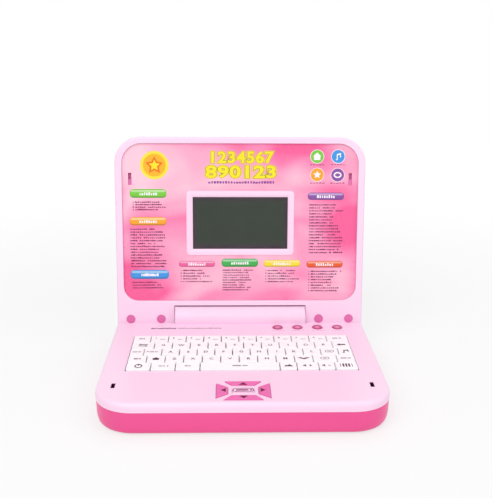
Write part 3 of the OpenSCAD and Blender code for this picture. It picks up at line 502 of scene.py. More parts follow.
# %% [markdown]
# ## Shells with softened edges
#
# The case shells are right in shape, but moulded edges are never knife sharp: they catch a thin highlight.
# A CAD mesh may not be changed, so each shell is copied and its loose triangles are merged. Each edge that
# turns by more than the given angle gets a bevel weight, unless one of its faces is only a sliver, and a
# Bevel modifier rounds the edges with a weight.

# %% Meshes and pieces


def mesh_from(bm, name, turn_out=True):
    """Turns a bmesh into a mesh, as a rule with its normals outwards, and frees it."""
    if turn_out:
        bmesh.ops.recalc_face_normals(bm, faces=bm.faces)
    mesh = bpy.data.meshes.new(name)
    bm.to_mesh(mesh)
    bm.free()
    return mesh


def finished(name, mesh, material, body, stands_for=(), smooth_angle=32):
    """Makes a mesh that is already in place into a piece that rides on a body."""
    mesh.name = name
    mesh.materials.clear()
    mesh.materials.append(material)
    for face in mesh.polygons:
        face.use_smooth = True
        face.material_index = 0
    mesh.set_sharp_from_angle(angle=math.radians(smooth_angle))
    piece = bpy.data.objects.new(name, mesh)
    bpy.context.scene.collection.objects.link(piece)
    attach(piece, body)
    if stands_for:
        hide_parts(*stands_for)
    return piece


# %% Rounded copies of shells
SAME_SPOT = 1e-6
FLAT_ANGLE = math.radians(0.5)
SLIVER = 0.08 * MM
SHELL_SMOOTH = 50


def merged(node):
    """A bmesh of a CAD node, with its loose triangles joined at their corners."""
    bm = bmesh.new()
    bm.from_mesh(nodes[node].data)
    bmesh.ops.remove_doubles(bm, verts=bm.verts, dist=SAME_SPOT)
    return bm


def weighted_copy(node, sharp_angle):
    """A copy of a CAD node's mesh with clean faces, whose real sharp edges are marked for rounding."""
    bm = merged(node)
    bmesh.ops.dissolve_limit(bm, angle_limit=FLAT_ANGLE, verts=bm.verts, edges=bm.edges)
    weight = bm.edges.layers.float.new("bevel_weight_edge")
    widths = {face: face.calc_area() / max(edge.calc_length() for edge in face.edges)
              for face in bm.faces}
    for edge in bm.edges:
        real = min(widths[face] for face in edge.link_faces) > SLIVER
        edge[weight] = float(real and edge.calc_face_angle(0) > math.radians(sharp_angle))
    return mesh_from(bm, node, turn_out=False)


def rounded_shell(node, name, material, body, radius, angle=35, segments=2):
    """A copy of a CAD shell with its sharp edges rounded, in the shell's place."""
    piece = finished(name, weighted_copy(node, angle), material, body, (node,), SHELL_SMOOTH)
    rounding = piece.modifiers.new("rounding", "BEVEL")
    rounding.width, rounding.segments = radius, segments
    rounding.limit_method = "WEIGHT"
    rounding.use_clamp_overlap = False
    evening = piece.modifiers.new("evening", "WEIGHTED_NORMAL")
    evening.keep_sharp = True


rounded_shell("base_top_deck", "deck_shell", pale_pink, "base", 0.25 * MM)
rounded_shell("base_bottom_case", "lower_case", deep_pink, "base", 0.2 * MM)
rounded_shell("lid_front_frame", "lid_frame", pale_pink, "lid", 0.35 * MM)
rounded_shell("lid_back_cover", "lid_cover", pale_pink, "lid", 0.3 * MM)
print("shells rounded")

# %% [markdown]
# ## Pieces that keep their CAD shape
#
# Boards, screws, feet, cells, the loudspeaker and the other inner pieces already have the right shape, so
# they only get their material.

# %% Finish the CAD pieces
finishes = {
    screw_steel: ("battery_door_screw", "case_screws", "lid_screws", "hinge_pins"),
    contact_steel: ("battery_contacts",),
    board_green: ("main_board", "key_board", "screen_board"),
    soft_silicone: ("key_mat",),
    inner_plastic: ("key_guide_plate",),
    deep_pink: ("battery_door",),
    foot_rubber: ("rubber_feet",),
    black_plastic: ("mouse_socket",),
    speaker_paper: ("speaker",),
    cell_jacket: ("battery_cells",),
    wire_red: ("hinge_wires", "lid_wires"),
    plug_pink: ("hinge_plugs", "latch_catches"),
    label_print: ("label_panel",),
    clear_window: ("screen_window",),
    display: ("screen_module",),
}
for material, names in finishes.items():
    for name in names:
        cad = nodes[name]
        if not cad.material_slots:
            cad.data.materials.append(material)
        for material_slot in cad.material_slots:
            material_slot.material = material
print(sum(len(names) for names in finishes.values()), "CAD pieces finished")

# %% [markdown]
# ## Keycaps
#
# The keys are low white blocks with soft corners and a barely hollow top. One function builds a cap from
# rings of points: up the side, over the rounded edge and down into the hollow. Each cap's place and size
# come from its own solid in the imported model, so a node that holds ten keys gives ten caps.

# %% Outlines and rings of points
SMALLEST_CORNER = 0.15 * MM


def bar(x, s, wide, high, radius, corner=5):
    """The outline of a bar with rounded corners about (x, s)."""
    points = []
    for sx, ss, start in ((1, 1, 0), (-1, 1, 90), (-1, -1, 180), (1, -1, 270)):
        cx, cs = x + sx * (wide / 2 - radius), s + ss * (high / 2 - radius)
        for step in range(corner + 1):
            angle = math.radians(start + 90 * step / corner)
            points.append((cx + radius * math.cos(angle), cs + radius * math.sin(angle)))
    return points


def rounded_ring(bm, low, high, radius, inset, z, corner=4):
    """A ring of vertices at height z, round a box that is drawn in by an inset."""
    outline = bar((low.x + high.x) / 2, (low.y + high.y) / 2, high.x - low.x - 2 * inset,
                  high.y - low.y - 2 * inset, max(radius - inset, SMALLEST_CORNER), corner)
    return [bm.verts.new((x, y, z)) for x, y in outline]


def rounded_edge(radius, steps):
    """How far points of a rounded edge are in from the wall and down from the face."""
    turns = [math.pi / 2 * step / steps for step in range(steps + 1)]
    return [(radius * (1 - math.cos(turn)), radius * (1 - math.sin(turn))) for turn in turns]


def join_rings(bm, rings, closed=True):
    """Walls between rings of equal length, and flat ends."""
    for lower, upper in zip(rings, rings[1:]):
        for i in range(len(lower)):
            j = (i + 1) % len(lower)
            bm.faces.new((lower[i], lower[j], upper[j], upper[i]))
    if closed:
        bm.faces.new(list(reversed(rings[0])))
        bm.faces.new(rings[-1])


# %% Where each key is


def solids_of(node):
    """The boxes of a node's separate solids, from left to right."""
    bm = merged(node)
    boxes, left = [], set(bm.verts)
    while left:
        group, todo = [], [left.pop()]
        while todo:
            vert = todo.pop()
            group.append(vert)
            for edge in vert.link_edges:
                other = edge.other_vert(vert)
                if other in left:
                    left.discard(other)
                    todo.append(other)
        boxes.append(box_of(vert.co for vert in group))
    bm.free()
    return sorted(boxes, key=lambda box: box[0].x)


cap_boxes = {node: solids_of(node) for node in frame["bodies"] if node.startswith("key")}

# %% Keycaps
CAP_THICK, CAP_CORNER, CAP_EDGE = 3.2 * MM, 1.2 * MM, 0.45 * MM
# how far the hollow is in from the rounded edge, and how deep it is there
CAP_HOLLOW = ((0.9 * MM, 0.12 * MM), (3.2 * MM, 0.15 * MM))
STEM_HALF, STEM_CORNER, STEM_LAP = 3 * MM, 0.4 * MM, 0.02 * MM


def keycap(bm, low, high):
    """One keycap with its stem."""
    under = high.z - CAP_THICK
    steps = [(0, CAP_THICK)] + rounded_edge(CAP_EDGE, 3)
    steps += [(CAP_EDGE + inset, deep) for inset, deep in CAP_HOLLOW]
    join_rings(bm, [rounded_ring(bm, low, high, CAP_CORNER, inset, high.z - deep) for inset, deep in steps])
    middle, half = (low + high) / 2, Vector((STEM_HALF, STEM_HALF, 0))
    join_rings(bm, [rounded_ring(bm, middle - half, middle + half, STEM_CORNER, 0, z, corner=1)
                    for z in (low.z, under + STEM_LAP)])


for node, boxes in cap_boxes.items():
    bm = bmesh.new()
    for low, high in boxes:
        keycap(bm, low, high)
    caps = node + "_caps"
    finished(caps, mesh_from(bm, caps), key_white, node, (node,), 40)
print("a cap is", round(CAP_THICK / MM, 1), "mm thick")

# %% [markdown]
# ## Round buttons
#
# Each round button is a low turned shape: a straight wall, a rounded rim and a shallow dish that holds a
# paler disc. A profile of radius and height is turned about the button's axis, and the flange that keeps
# the button under the deck is part of the same profile.

# %% Turned shapes
TURN_STEPS = 40


def turned(bm, middle, profile):
    """Turns a profile of (radius, height) about an upright axis; radius 0 closes an end."""
    rings = []
    for radius, z in profile:
        turns = [2 * math.pi * i / TURN_STEPS for i in range(TURN_STEPS if radius else 1)]
        rings.append([bm.verts.new((middle.x + radius * math.cos(turn),
                                    middle.y + radius * math.sin(turn), z)) for turn in turns])
    for lower, upper in zip(rings, rings[1:]):
        for i in range(TURN_STEPS):
            j = (i + 1) % TURN_STEPS
            corners = [ring[k % len(ring)] for ring, k in ((lower, i), (lower, j), (upper, j), (upper, i))]
            bm.faces.new(list(dict.fromkeys(corners)))


# %% Round buttons
BUTTON_SMOOTH = 40
FLANGE_WIDE, FLANGE_LOW, FLANGE_HIGH = 1.5 * MM, 4.6 * MM, 2.9 * MM
RIM_R, DISH_DEEP, DISH_LIP = 0.5 * MM, 0.55 * MM, 0.05 * MM
DISH_STEPS = (1.0, 0.8, 0.55, 0.3, 0)
DISC_SHARE, DISC_DOWN, DISC_THICK = 0.55, 0.62, 0.5 * MM
DISC_EDGE, DISC_EDGE_LOW, DISC_SAG = 0.1 * MM, 0.12 * MM, 0.05 * MM

round_buttons = ["button_%d" % i for i in (1, 2, 3, 4)]
for node in round_buttons:
    low, high = map(Vector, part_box(node))
    middle = (low + high) / 2
    wide, top = (high.x - low.x) / 2, high.z
    radius = wide - FLANGE_WIDE
    dish = radius - 2 * RIM_R
    profile = [(0, low.z), (radius, low.z), (radius, top - FLANGE_LOW), (wide, top - FLANGE_LOW),
               (wide, top - FLANGE_HIGH), (radius, top - FLANGE_HIGH)]
    profile += [(radius - inset, top - drop) for inset, drop in rounded_edge(RIM_R, 6)]
    profile += [(dish * share, top - DISH_DEEP * (1 - share * share) - DISH_LIP) for share in DISH_STEPS]
    bm = bmesh.new()
    turned(bm, middle, profile)
    finished(node + "_cap", mesh_from(bm, node), button_pink, node, (node,), BUTTON_SMOOTH)
    disc, disc_top = dish * DISC_SHARE, top - DISH_DEEP * DISC_DOWN
    bm = bmesh.new()
    turned(bm, middle, [(0, disc_top - DISC_THICK), (disc, disc_top - DISC_THICK),
                        (disc, disc_top - DISC_EDGE_LOW), (disc - DISC_EDGE, disc_top),
                        (0, disc_top - DISC_SAG)])
    finished(node + "_disc", mesh_from(bm, node), dish_pink, node)
print(len(round_buttons), "round buttons")

# %% [markdown]
# ## Direction pad
#
# The four wedges and the middle key are straight prisms in the CAD model, so they get rounded edges in the
# same way as the shells.

# %% Direction pad
PAD_EDGE = 0.45 * MM
pad_pink = plastic("pad_pink", (240, 118, 184), (234, 106, 176), 0.3)
for side in ("up", "down", "left", "right"):
    node = "pad_" + side
    rounded_shell(node, "pad_wedge_" + side, pad_pink, node, PAD_EDGE, 40, 3)
rounded_shell("pad_enter", "pad_middle_key", pale_pink, "pad_enter", PAD_EDGE, 40, 3)
print("direction pad rounded")

# %% [markdown]
# ## The bezel round the screen
#
# The bezel is one frame with a soft outer edge and a slope that leads the eye down to the window. It is
# built from rounded rings, each a little further in, that run over the face, down the slope, behind the
# window's seat and back to the start, so it is a closed ring without seams.

# %% Bezel
BEZEL_R, BEZEL_EDGE, NECK_IN, SEAT_PLAY = 4.0 * MM, 0.7 * MM, 2.2 * MM, 0.15 * MM
SLOPE_WIDE, SLOPE_DEEP, SLOPE_SOFT, SLOPE_LIP = 2.2 * MM, 1.0 * MM, 0.3 * MM, 0.06 * MM
FOOT_WIDE, FOOT_DEEP, HAIR = 0.25 * MM, 0.2 * MM, 0.02 * MM
to_standing = Matrix(((1, 0, 0, 0), (0, 0, 1, 0), (0, 1, 0, 0), (0, 0, 0, 1)))

bezel_low, bezel_high = box_on(lid_sheet, "screen_bezel")
front, back = bezel_low.y, bezel_high.y
glass_in = window_low.x - bezel_low.x
open_in, seat_in = glass_in + GLASS_HIDDEN, glass_in - SEAT_PLAY
seat, behind_label = window_low.y - HAIR, label_face - HAIR
loops = [(0.0, behind_label)] + [(inset, front + drop) for inset, drop in rounded_edge(BEZEL_EDGE, 5)]
loops += [(open_in - SLOPE_WIDE - SLOPE_SOFT, front), (open_in - SLOPE_WIDE, front + SLOPE_LIP),
          (open_in - FOOT_WIDE, front + SLOPE_DEEP), (open_in, front + SLOPE_DEEP + FOOT_DEEP),
          (open_in, seat), (seat_in, seat), (seat_in, back), (NECK_IN, back), (NECK_IN, behind_label)]
bm = bmesh.new()
low, high = bezel_low.xzy, bezel_high.xzy
rings = [rounded_ring(bm, low, high, BEZEL_R, inset, depth, corner=8) for inset, depth in loops]
join_rings(bm, rings + rings[:1], closed=False)
bm.transform(lid_sheet @ to_standing)
finished("screen_frame", mesh_from(bm, "screen_frame"), pale_pink, "lid",
         ("screen_bezel",), 40)
print("bezel", [round(v / MM, 1) for v in (high - low).xy], "mm")

# %% [markdown]
# ## Drawing on a sheet
#
# Everything printed, from a star on the label to a letter on a key, is a very thin closed plate on one of
# the sheets. A drawing collects the plates of one body, one bmesh for each ink, and turns each of them into
# a piece at the end. Outlines are lists of points (x, s): rounded bars, ovals, stars and polygons. Letters
# come from Blender's own font, as a text curve that is turned into a mesh before it is placed.

# %% More outlines
STAR_POINTS = 5


def oval(x, s, half_w, half_h, steps=32):
    """An ellipse about (x, s)."""
    turns = [2 * math.pi * i / steps for i in range(steps)]
    return [(x + half_w * math.cos(turn), s + half_h * math.sin(turn)) for turn in turns]


def star(x, s, radius, inner):
    """A star about (x, s), with one point straight up."""
    turns = [math.pi / 2 + math.pi * i / STAR_POINTS for i in range(2 * STAR_POINTS)]
    reaches = (radius, inner) * STAR_POINTS
    return [(x + reach * math.cos(turn), s + reach * math.sin(turn)) for reach, turn in zip(reaches, turns)]


def polygon(x, s, corners, size=1.0):
    """Corners given in millimetres about (x, s), and enlarged by size."""
    return [(x + dx * size * MM, s + ds * size * MM) for dx, ds in corners]


print("a star has", len(star(0, 0, 1, 0.5)), "corners")

# %% Lettering
LETTER_HALF = 0.5
glyphs = {}


def lettering(text, bold):
    """Points (x, s, depth) and faces of a text one unit high about its own middle."""
    if (text, bold) in glyphs:
        return glyphs[text, bold]
    curve = bpy.data.curves.new("letters", "FONT")
    curve.body, curve.offset = text, bold
    curve.extrude, curve.resolution_u = LETTER_HALF, 3
    holder = bpy.data.objects.new("letters", curve)
    bpy.context.scene.collection.objects.link(holder)
    bpy.context.view_layer.update()
    flat = bpy.data.meshes.new_from_object(holder)
    bm = bmesh.new()
    bm.from_mesh(flat)
    bmesh.ops.remove_doubles(bm, verts=bm.verts, dist=1e-5)
    bm.verts.index_update()
    low, high = box_of(v.co for v in bm.verts)
    middle, tall = (low + high) / 2, high.y - low.y
    points = [((v.co.x - middle.x) / tall, (v.co.y - middle.y) / tall, LETTER_HALF - v.co.z)
              for v in bm.verts]
    faces = [[v.index for v in face.verts] for face in bm.faces]
    bm.free()
    bpy.data.objects.remove(holder)
    bpy.data.meshes.remove(flat)
    glyphs[text, bold] = points, faces
    return points, faces


print("a letter A has", len(lettering("A", 0.0)[0]), "points")

# %% Drawings
LAYER, PLATE = 0.03 * MM, 0.05 * MM


class Drawing:
    """Thin printed plates on one sheet and one body, gathered by ink."""

    def __init__(self, name, sheet, face, body):
        self.name, self.sheet, self.face, self.body = name, sheet, face, body
        self.inks = {}

    def start(self, paint, layer):
        """The bmesh of an ink, and how deep in the sheet the front of a layer is."""
        bm = self.inks.setdefault(paint.name, (paint, bmesh.new()))[1]
        return bm, self.face - layer * LAYER

    def spots(self, bm, places):
        """A vertex for each (x, s, depth)."""
        return [bm.verts.new(self.sheet @ Vector((x, depth, s))) for x, s, depth in places]

    def plate(self, paint, outline, layer=1):
        """A closed plate with one outline."""
        bm, front = self.start(paint, layer)
        join_rings(bm, [self.spots(bm, [(x, s, depth) for x, s in outline])
                        for depth in (front + PLATE, front)])

    def ring(self, paint, outer, inner, layer=1, thick=PLATE):
        """A closed plate between two outlines with as many points."""
        bm, front = self.start(paint, layer)
        back = front + thick
        rings = [self.spots(bm, [(x, s, depth) for x, s in outline])
                 for outline, depth in ((outer, back), (outer, front), (inner, front), (inner, back))]
        join_rings(bm, rings + rings[:1], closed=False)

    def letters(self, paint, text, x, s, high, bold, layer=1, wide=1.0):
        """Lettering of a given height about (x, s)."""
        bm, front = self.start(paint, layer)
        points, faces = lettering(text, bold)
        made = self.spots(bm, [(x + px * high * wide, s + ps * high, front + PLATE * depth)
                               for px, ps, depth in points])
        for face in faces:
            bm.faces.new([made[i] for i in face])

    def finish(self, slot):
        """One piece for each ink."""
        for paint, bm in self.inks.values():
            piece_name = "%s_%s" % (self.name, paint.name.replace("ink_", ""))
            finished(piece_name, mesh_from(bm, piece_name), paint, self.body)


print("a plate is", round(PLATE / MM, 2), "mm thick")

# %% [markdown]
# ## Small print by Geometry Nodes
#
# The label's descriptions are too small to read, so they are printed as lines of word-long dashes. Each
# line is an edge; the node tree samples it at equal steps, drops a few samples as the gaps between
# sentences, and stands a dash of random length and height on each of the others. One tree serves every
# list, with the dash size, the step and the seed as its inputs, and the result is baked into one mesh.

# %% Node tree for lines of small print
SHORTEST, LONGEST = (0.5, 1, 0.6), (0.98, 1, 1)

word_tree = bpy.data.node_groups.new("small_print", "GeometryNodeTree")
for label, kind, value in (("Lines", "NodeSocketGeometry", None), ("Step", FLOAT, 2.0),
                           ("Height", FLOAT, 0.6), ("Thickness", FLOAT, PLATE), ("Drop", FLOAT, 0.06),
                           ("Seed", "NodeSocketInt", 1), ("Ink", "NodeSocketMaterial", None)):
    socket = word_tree.interface.new_socket(label, in_out="INPUT", socket_type=kind)
    if value is not None:
        socket.default_value = value
word_tree.interface.new_socket("Print", in_out="OUTPUT", socket_type="NodeSocketGeometry")
given = add(word_tree, "NodeGroupInput").outputs
curves = add(word_tree, "GeometryNodeMeshToCurve", Mesh=given["Lines"])
samples = add(word_tree, "GeometryNodeCurveToPoints", {"mode": "LENGTH"}, Curve=curves.outputs[0],
              Length=given["Step"])
drop = add(word_tree, "FunctionNodeRandomValue", {"data_type": "BOOLEAN"}, Probability=given["Drop"],
           Seed=given["Seed"])
kept = add(word_tree, "GeometryNodeDeleteGeometry", Geometry=samples.outputs["Points"],
           Selection=drop.outputs[3])
shares = add(word_tree, "FunctionNodeRandomValue", {"data_type": "FLOAT_VECTOR"}, _0=SHORTEST,
             _1=LONGEST, Seed=given["Seed"])
whole = add(word_tree, "ShaderNodeCombineXYZ", X=given["Step"], Y=given["Thickness"], Z=given["Height"])
size = add(word_tree, "ShaderNodeVectorMath", {"operation": "MULTIPLY"}, _0=shares.outputs[0],
           _1=whole.outputs[0])
dash = add(word_tree, "GeometryNodeMeshCube", Size=(1, 1, 1))
standing = add(word_tree, "GeometryNodeTransform", Geometry=dash.outputs["Mesh"],
               Translation=(0, 0, 0.5))
words = add(word_tree, "GeometryNodeInstanceOnPoints", Points=kept.outputs[0],
            Instance=standing.outputs[0], Scale=size.outputs[0])
real = add(word_tree, "GeometryNodeRealizeInstances", Geometry=words.outputs[0])
inked = add(word_tree, "GeometryNodeSetMaterial", Geometry=real.outputs[0], Material=given["Ink"])
add(word_tree, "NodeGroupOutput", _0=inked.outputs[0])
print("small print tree has", len(word_tree.nodes), "nodes")

# %% Baking lines of small print
DASH_STEP, DASH_HIGH, DASH_DROP = 1.9 * MM, 1.45 * MM, 0.06
on_lid = (lid_sheet, label_face, "lid", "label_print")
on_deck = (deck_sheet, 0.0, "base", "case_pink_pale")


def small_print(name, lines, paint, seed, step=DASH_STEP, high=DASH_HIGH, drop=0.0, layer=1,
                where=on_lid):
    """Bakes lines of dashes on the lid or the deck; a line is (start x, end x, s)."""
    sheet, face, body, slot = where
    mesh = bpy.data.meshes.new(name)
    depth = face - layer * LAYER + PLATE / 2
    ends = [(x, depth, s - high / 2) for x0, x1, s in lines for x in (x0, x1)]
    mesh.from_pydata(ends, [(i, i + 1) for i in range(0, len(ends), 2)], [])
    holder = bpy.data.objects.new(name, mesh)
    bpy.context.scene.collection.objects.link(holder)
    printer = holder.modifiers.new("print", "NODES")
    printer.node_group = word_tree
    values = {"Step": step, "Height": high, "Thickness": PLATE, "Drop": drop, "Seed": seed, "Ink": paint}
    for item in word_tree.interface.items_tree:
        if item.in_out == "INPUT" and item.name in values:
            printer[item.identifier] = values[item.name]
    bpy.context.view_layer.update()
    evaluated = holder.evaluated_get(bpy.context.evaluated_depsgraph_get())
    baked = bpy.data.meshes.new_from_object(evaluated)
    bpy.data.objects.remove(holder)
    baked.transform(sheet)
    finished(name, baked, paint, body)


def in_mm(*lines):
    """Lines given in millimetres, in metres."""
    return [tuple(value * MM for value in line) for line in lines]


def lines_between(x0, x1, low, high, count, ragged):
    """Lines of equal spacing between two heights, each cut short by a random part of ragged."""
    spacing = (high - low) / count
    return in_mm(*[(x0, x1 - ragged * (x1 - x0) * random.random(), high - spacing * (i + 0.5))
                   for i in range(count)])


print("dashes every", round(DASH_STEP / MM, 1), "mm")

# %% [markdown]
# ## The printed label's design
#
# The design is a plain one of its own: two rows of digits as a heading, a round badge with a star, four
# round signs, and eight coloured tags over lists of small print.

# %% Heading
label = Drawing("label", lid_sheet, label_face, "lid")
# ink, how much bolder than the plain letter, and layer
heading_inks = ((ink_orange_line, 0.1, 2), (ink_green_line, 0.066, 3), (ink_yellow, 0.03, 4))


def heading(text, x, s, high, wide, letter_wide):
    """Bold yellow letters with a green outline and a pale rim, each letter made and placed by itself."""
    pitch = wide / len(text)
    for i, letter in enumerate(text):
        middle = (x - wide / 2 + pitch * (i + 0.5)) * MM
        for paint, bold, layer in heading_inks:
            tall = (high + 2 * bold * high) * MM
            label.letters(paint, letter, middle, s * MM, tall, bold, layer, letter_wide)


heading("1234567", 0.6, 162.8, 11.0, 66, 1.12)
heading("890123", 0.8, 148.4, 12.0, 72, 1.36)
small_print("label_caption", in_mm((-31, 33, 138)), ink_violet, 3, 2.7 * MM, 2.6 * MM)
print("heading in", len(heading_inks), "inks")

# %% Badge and round signs
BADGE_X, BADGE_S, BADGE_R, BADGE_STAR_S = -85.6 * MM, 154.8 * MM, 14.1 * MM, 154.5 * MM
for paint, share, layer in ((ink_badge_rim, 1.0, 1), (ink_badge, 0.8, 2)):
    label.plate(paint, oval(BADGE_X, BADGE_S, BADGE_R * share, BADGE_R * share, 48), layer)
for paint, outer, inner, layer in ((ink_badge_mark, 0.66, 0.34, 3), (ink_yellow, 0.42, 0.2, 4)):
    label.plate(paint, star(BADGE_X, BADGE_STAR_S, BADGE_R * outer, BADGE_R * inner), layer)

SIGN_R, SIGN_RIM = 6.5 * MM, 7.0 * MM
note = ((-2.6, -3.0), (-1.4, -2.2), (-1.4, 2.4), (2.8, 3.6), (2.8, -1.0), (1.8, -1.0), (1.8, 1.8),
        (-0.4, 1.2), (-0.4, -3.0), (-1.5, -4.0))
house = ((-3.2, -3.4), (3.2, -3.4), (3.2, 0.2), (4.2, 0.2), (0, 4.0), (-4.2, 0.2), (-3.2, 0.2))
signs = (("green", 76.6, 163.7, house), ("blue", 97.6, 163.8, note), ("orange", 76.9, 145.6, "star"),
         ("purple", 97.4, 145.4, "ring"))
for color, x, s, shape in signs:
    x, s = x * MM, s * MM
    label.plate(ink_white, oval(x, s, SIGN_RIM, SIGN_RIM), 1)
    label.plate(tag_inks[color][0], oval(x, s, SIGN_R, SIGN_R), 2)
    if shape == "star":
        label.plate(ink_white, star(x, s, 4.2 * MM, 1.9 * MM), 3)
    elif shape == "ring":
        label.ring(ink_white, oval(x, s, 4 * MM, 3 * MM), oval(x, s, 2.6 * MM, 1.7 * MM), 3)
    else:
        label.plate(ink_white, polygon(x, s, shape), 3)
sign_captions = in_mm((70.6, 82.6, 155.6), (91.6, 103.6, 155.7), (71, 83, 137.4), (91.4, 103.4, 137.3))
small_print("sign_captions", sign_captions, ink_text, 11, 2.6 * MM, 0.9 * MM)
print("a badge and", len(signs), "signs")

# %% Tags
WORD_HALF, WORD_DOWN = 8, 0.3
# colour, left, right, lower and upper edge, in mm on the lid
tags = (("green", -110.5, -73.9, 122.2, 131.1), ("orange", -111.0, -74.2, 94.5, 103.0),
        ("blue", -111.1, -72.2, 39.6, 49.0), ("rose", -62.1, -25.7, 52.1, 58.2),
        ("leaf", -18.9, 18.2, 52.0, 60.5), ("yellow", 23.9, 61.2, 52.0, 59.2),
        ("red", 67.6, 104.4, 51.2, 58.1), ("purple", 67.8, 104.3, 120.4, 127.7))
# painted-shade, middle and painted-highlight bar: tone, how much narrower in mm, then lift, height and
# corner as shares of the tag
tag_bars = ((2, 0, 0, 1.0, 0.42), (0, 0.4, 0.07, 0.8, 0.336), (1, 2.4, 0.27, 0.26, 0.12))
tag_words = []
for color, x0, x1, low, high in tags:
    x, s, wide, tall = (x0 + x1) / 2, (low + high) / 2, x1 - x0, (high - low) * MM
    # the shade bar shows along the tag's lower edge as painted shade, the narrow light bar near its top as a
    # painted highlight
    for layer, (tone, narrower, lift, share, corner) in enumerate(tag_bars, 1):
        outline = bar(x * MM, s * MM + tall * lift, (wide - narrower) * MM, tall * share, tall * corner)
        label.plate(tag_inks[color][tone], outline, layer)
    tag_words.append((x - WORD_HALF, x + WORD_HALF, s - WORD_DOWN))
label.finish("label_print")
small_print("tag_words", in_mm(*tag_words), ink_white, 5, 2.0 * MM, 3.0 * MM, layer=4)
print(len(tags), "tags")

# %% Numbered lists
NUMBER_WIDE, NUMBER_GAP, RAGGED = 2.4, 1.2, 0.45
# left, right, lower and upper edge, in mm on the lid, and how many lines
lists = ((-107.2, -75, 109.2, 119.3, 4), (-110.2, -74.6, 51.2, 92.2, 14), (-108.8, -75, 29.2, 37.6, 3),
         (-60, -27.8, 35.5, 49.9, 5), (-17.3, 16.4, 27.1, 50.0, 9), (26.2, 59.2, 35.3, 49.8, 5),
         (70.2, 103.6, 25.8, 48.9, 8), (70.0, 103.6, 65.3, 117.0, 17))
random.seed(7)
list_numbers, list_lines = [], []
for x0, x1, low, high, count in lists:
    list_numbers += lines_between(x0, x0 + NUMBER_WIDE, low, high, count, 0.0)
    list_lines += lines_between(x0 + NUMBER_WIDE + NUMBER_GAP, x1, low, high, count, RAGGED)
small_print("list_numbers", list_numbers, ink_text, 13, 1.2 * MM)
small_print("label_lists", list_lines, ink_text, 21, drop=DASH_DROP)
print(len(lists), "lists with", len(list_lines), "lines of small print")

# %% [markdown]
# ## Legends on the keys
#
# Letters and digits are real lettering; the function keys carry simple signs or a dash in place of a word.
# A legend is a function that draws about a key's middle, and a table gives each key node its legends from
# left to right. They lie in the hollow of the cap, a few hundredths of a millimetre above it. Their sizes
# and offsets are in millimetres.

# %% Lettering, strokes and words
LETTER_HIGH, DIGIT_HIGH, LETTER_BOLD, STROKE_CORNER = 4.0, 3.0, 0.02, 0.2
LEGEND_UP = KEY_PROUD - 0.13 * MM
# the two uneven parts of a word's dash: length, place of the middle and height, as shares
WORD_PARTS = ((0.56, 0.28, 1.0), (0.36, 0.82, 0.8))


def letter(text, dx=0.0, ds=0.0, high=LETTER_HIGH):
    """A legend that draws lettering off the key's middle."""
    return lambda page, x, s: page.letters(ink_legend, text, x + dx * MM, s + ds * MM, high * MM,
                                           LETTER_BOLD)


def bar_mm(x, s, dx, ds, wide, high, corner=STROKE_CORNER):
    """A bar off (x, s), with its offset, size and corner in millimetres."""
    return bar(x + dx * MM, s + ds * MM, wide * MM, high * MM, corner * MM)


def word(wide, dx=0.0, ds=0.0, high=1.4, paint=ink_legend):
    """A legend that draws a dash in place of a word, in two uneven parts."""
    def draw(page, x, s):
        for part, middle, share in WORD_PARTS:
            page.plate(paint, bar_mm(x, s, dx + wide * (middle - 0.5), ds, wide * part, high * share))
    return draw


def sign(*corners, size=1.0):
    """A legend that draws one filled outline."""
    return lambda page, x, s: page.plate(ink_bold, polygon(x, s, corners, size))


def several(*legends):
    """A legend made of other legends."""
    def draw(page, x, s):
        for legend in legends:
            legend(page, x, s)
    return draw


def digit(text):
    """A digit in the upper left of the key and a word's dash in the lower right."""
    return several(letter(text, -3.6, 1.9, DIGIT_HIGH), word(4.4, 2.8, -1.7, 0.9))


print("letters are", LETTER_HIGH, "mm high")

# %% Signs in several parts


def power_sign(page, x, s):
    """A ring with a stroke at its top."""
    page.ring(ink_bold, oval(x, s, 3.5 * MM, 3.9 * MM), oval(x, s, 2.5 * MM, 2.6 * MM))
    page.plate(ink_bold, bar_mm(x, s, 0, 2.7, 1.0, 4.0), 2)


def frame_sign(page, x, s):
    """A thin rounded frame round a dash."""
    page.ring(ink_legend, bar_mm(x, s, 0, 0, 8.0, 4.8, 1.8), bar_mm(x, s, 0, 0, 7.0, 3.6, 1.3))
    page.plate(ink_legend, bar_mm(x, s, 0, 0, 3.4, 0.9))


def piano_sign(page, x, s):
    """Five dark keys side by side, the outer ones thin."""
    for i, wide in enumerate((0.6, 1.6, 1.6, 1.6, 0.6)):
        page.plate(ink_bold, bar_mm(x, s, (i - 2) * 2.6, 0.3, wide, 6.4))


def minus_sign(page, x, s):
    """A loudspeaker cone with a minus."""
    cone = ((-4.2, -0.9), (-3.2, -0.9), (-1.6, -2.3), (-1.6, 2.3), (-3.2, 0.9), (-4.2, 0.9))
    page.plate(ink_bold, polygon(x, s, cone))
    page.plate(ink_bold, bar_mm(x, s, 2.4, 0, 2.8, 0.9))


def plus_sign(page, x, s):
    """A loudspeaker cone with a plus."""
    minus_sign(page, x, s)
    page.plate(ink_bold, bar_mm(x, s, 2.4, 0, 0.8, 3.4), 2)


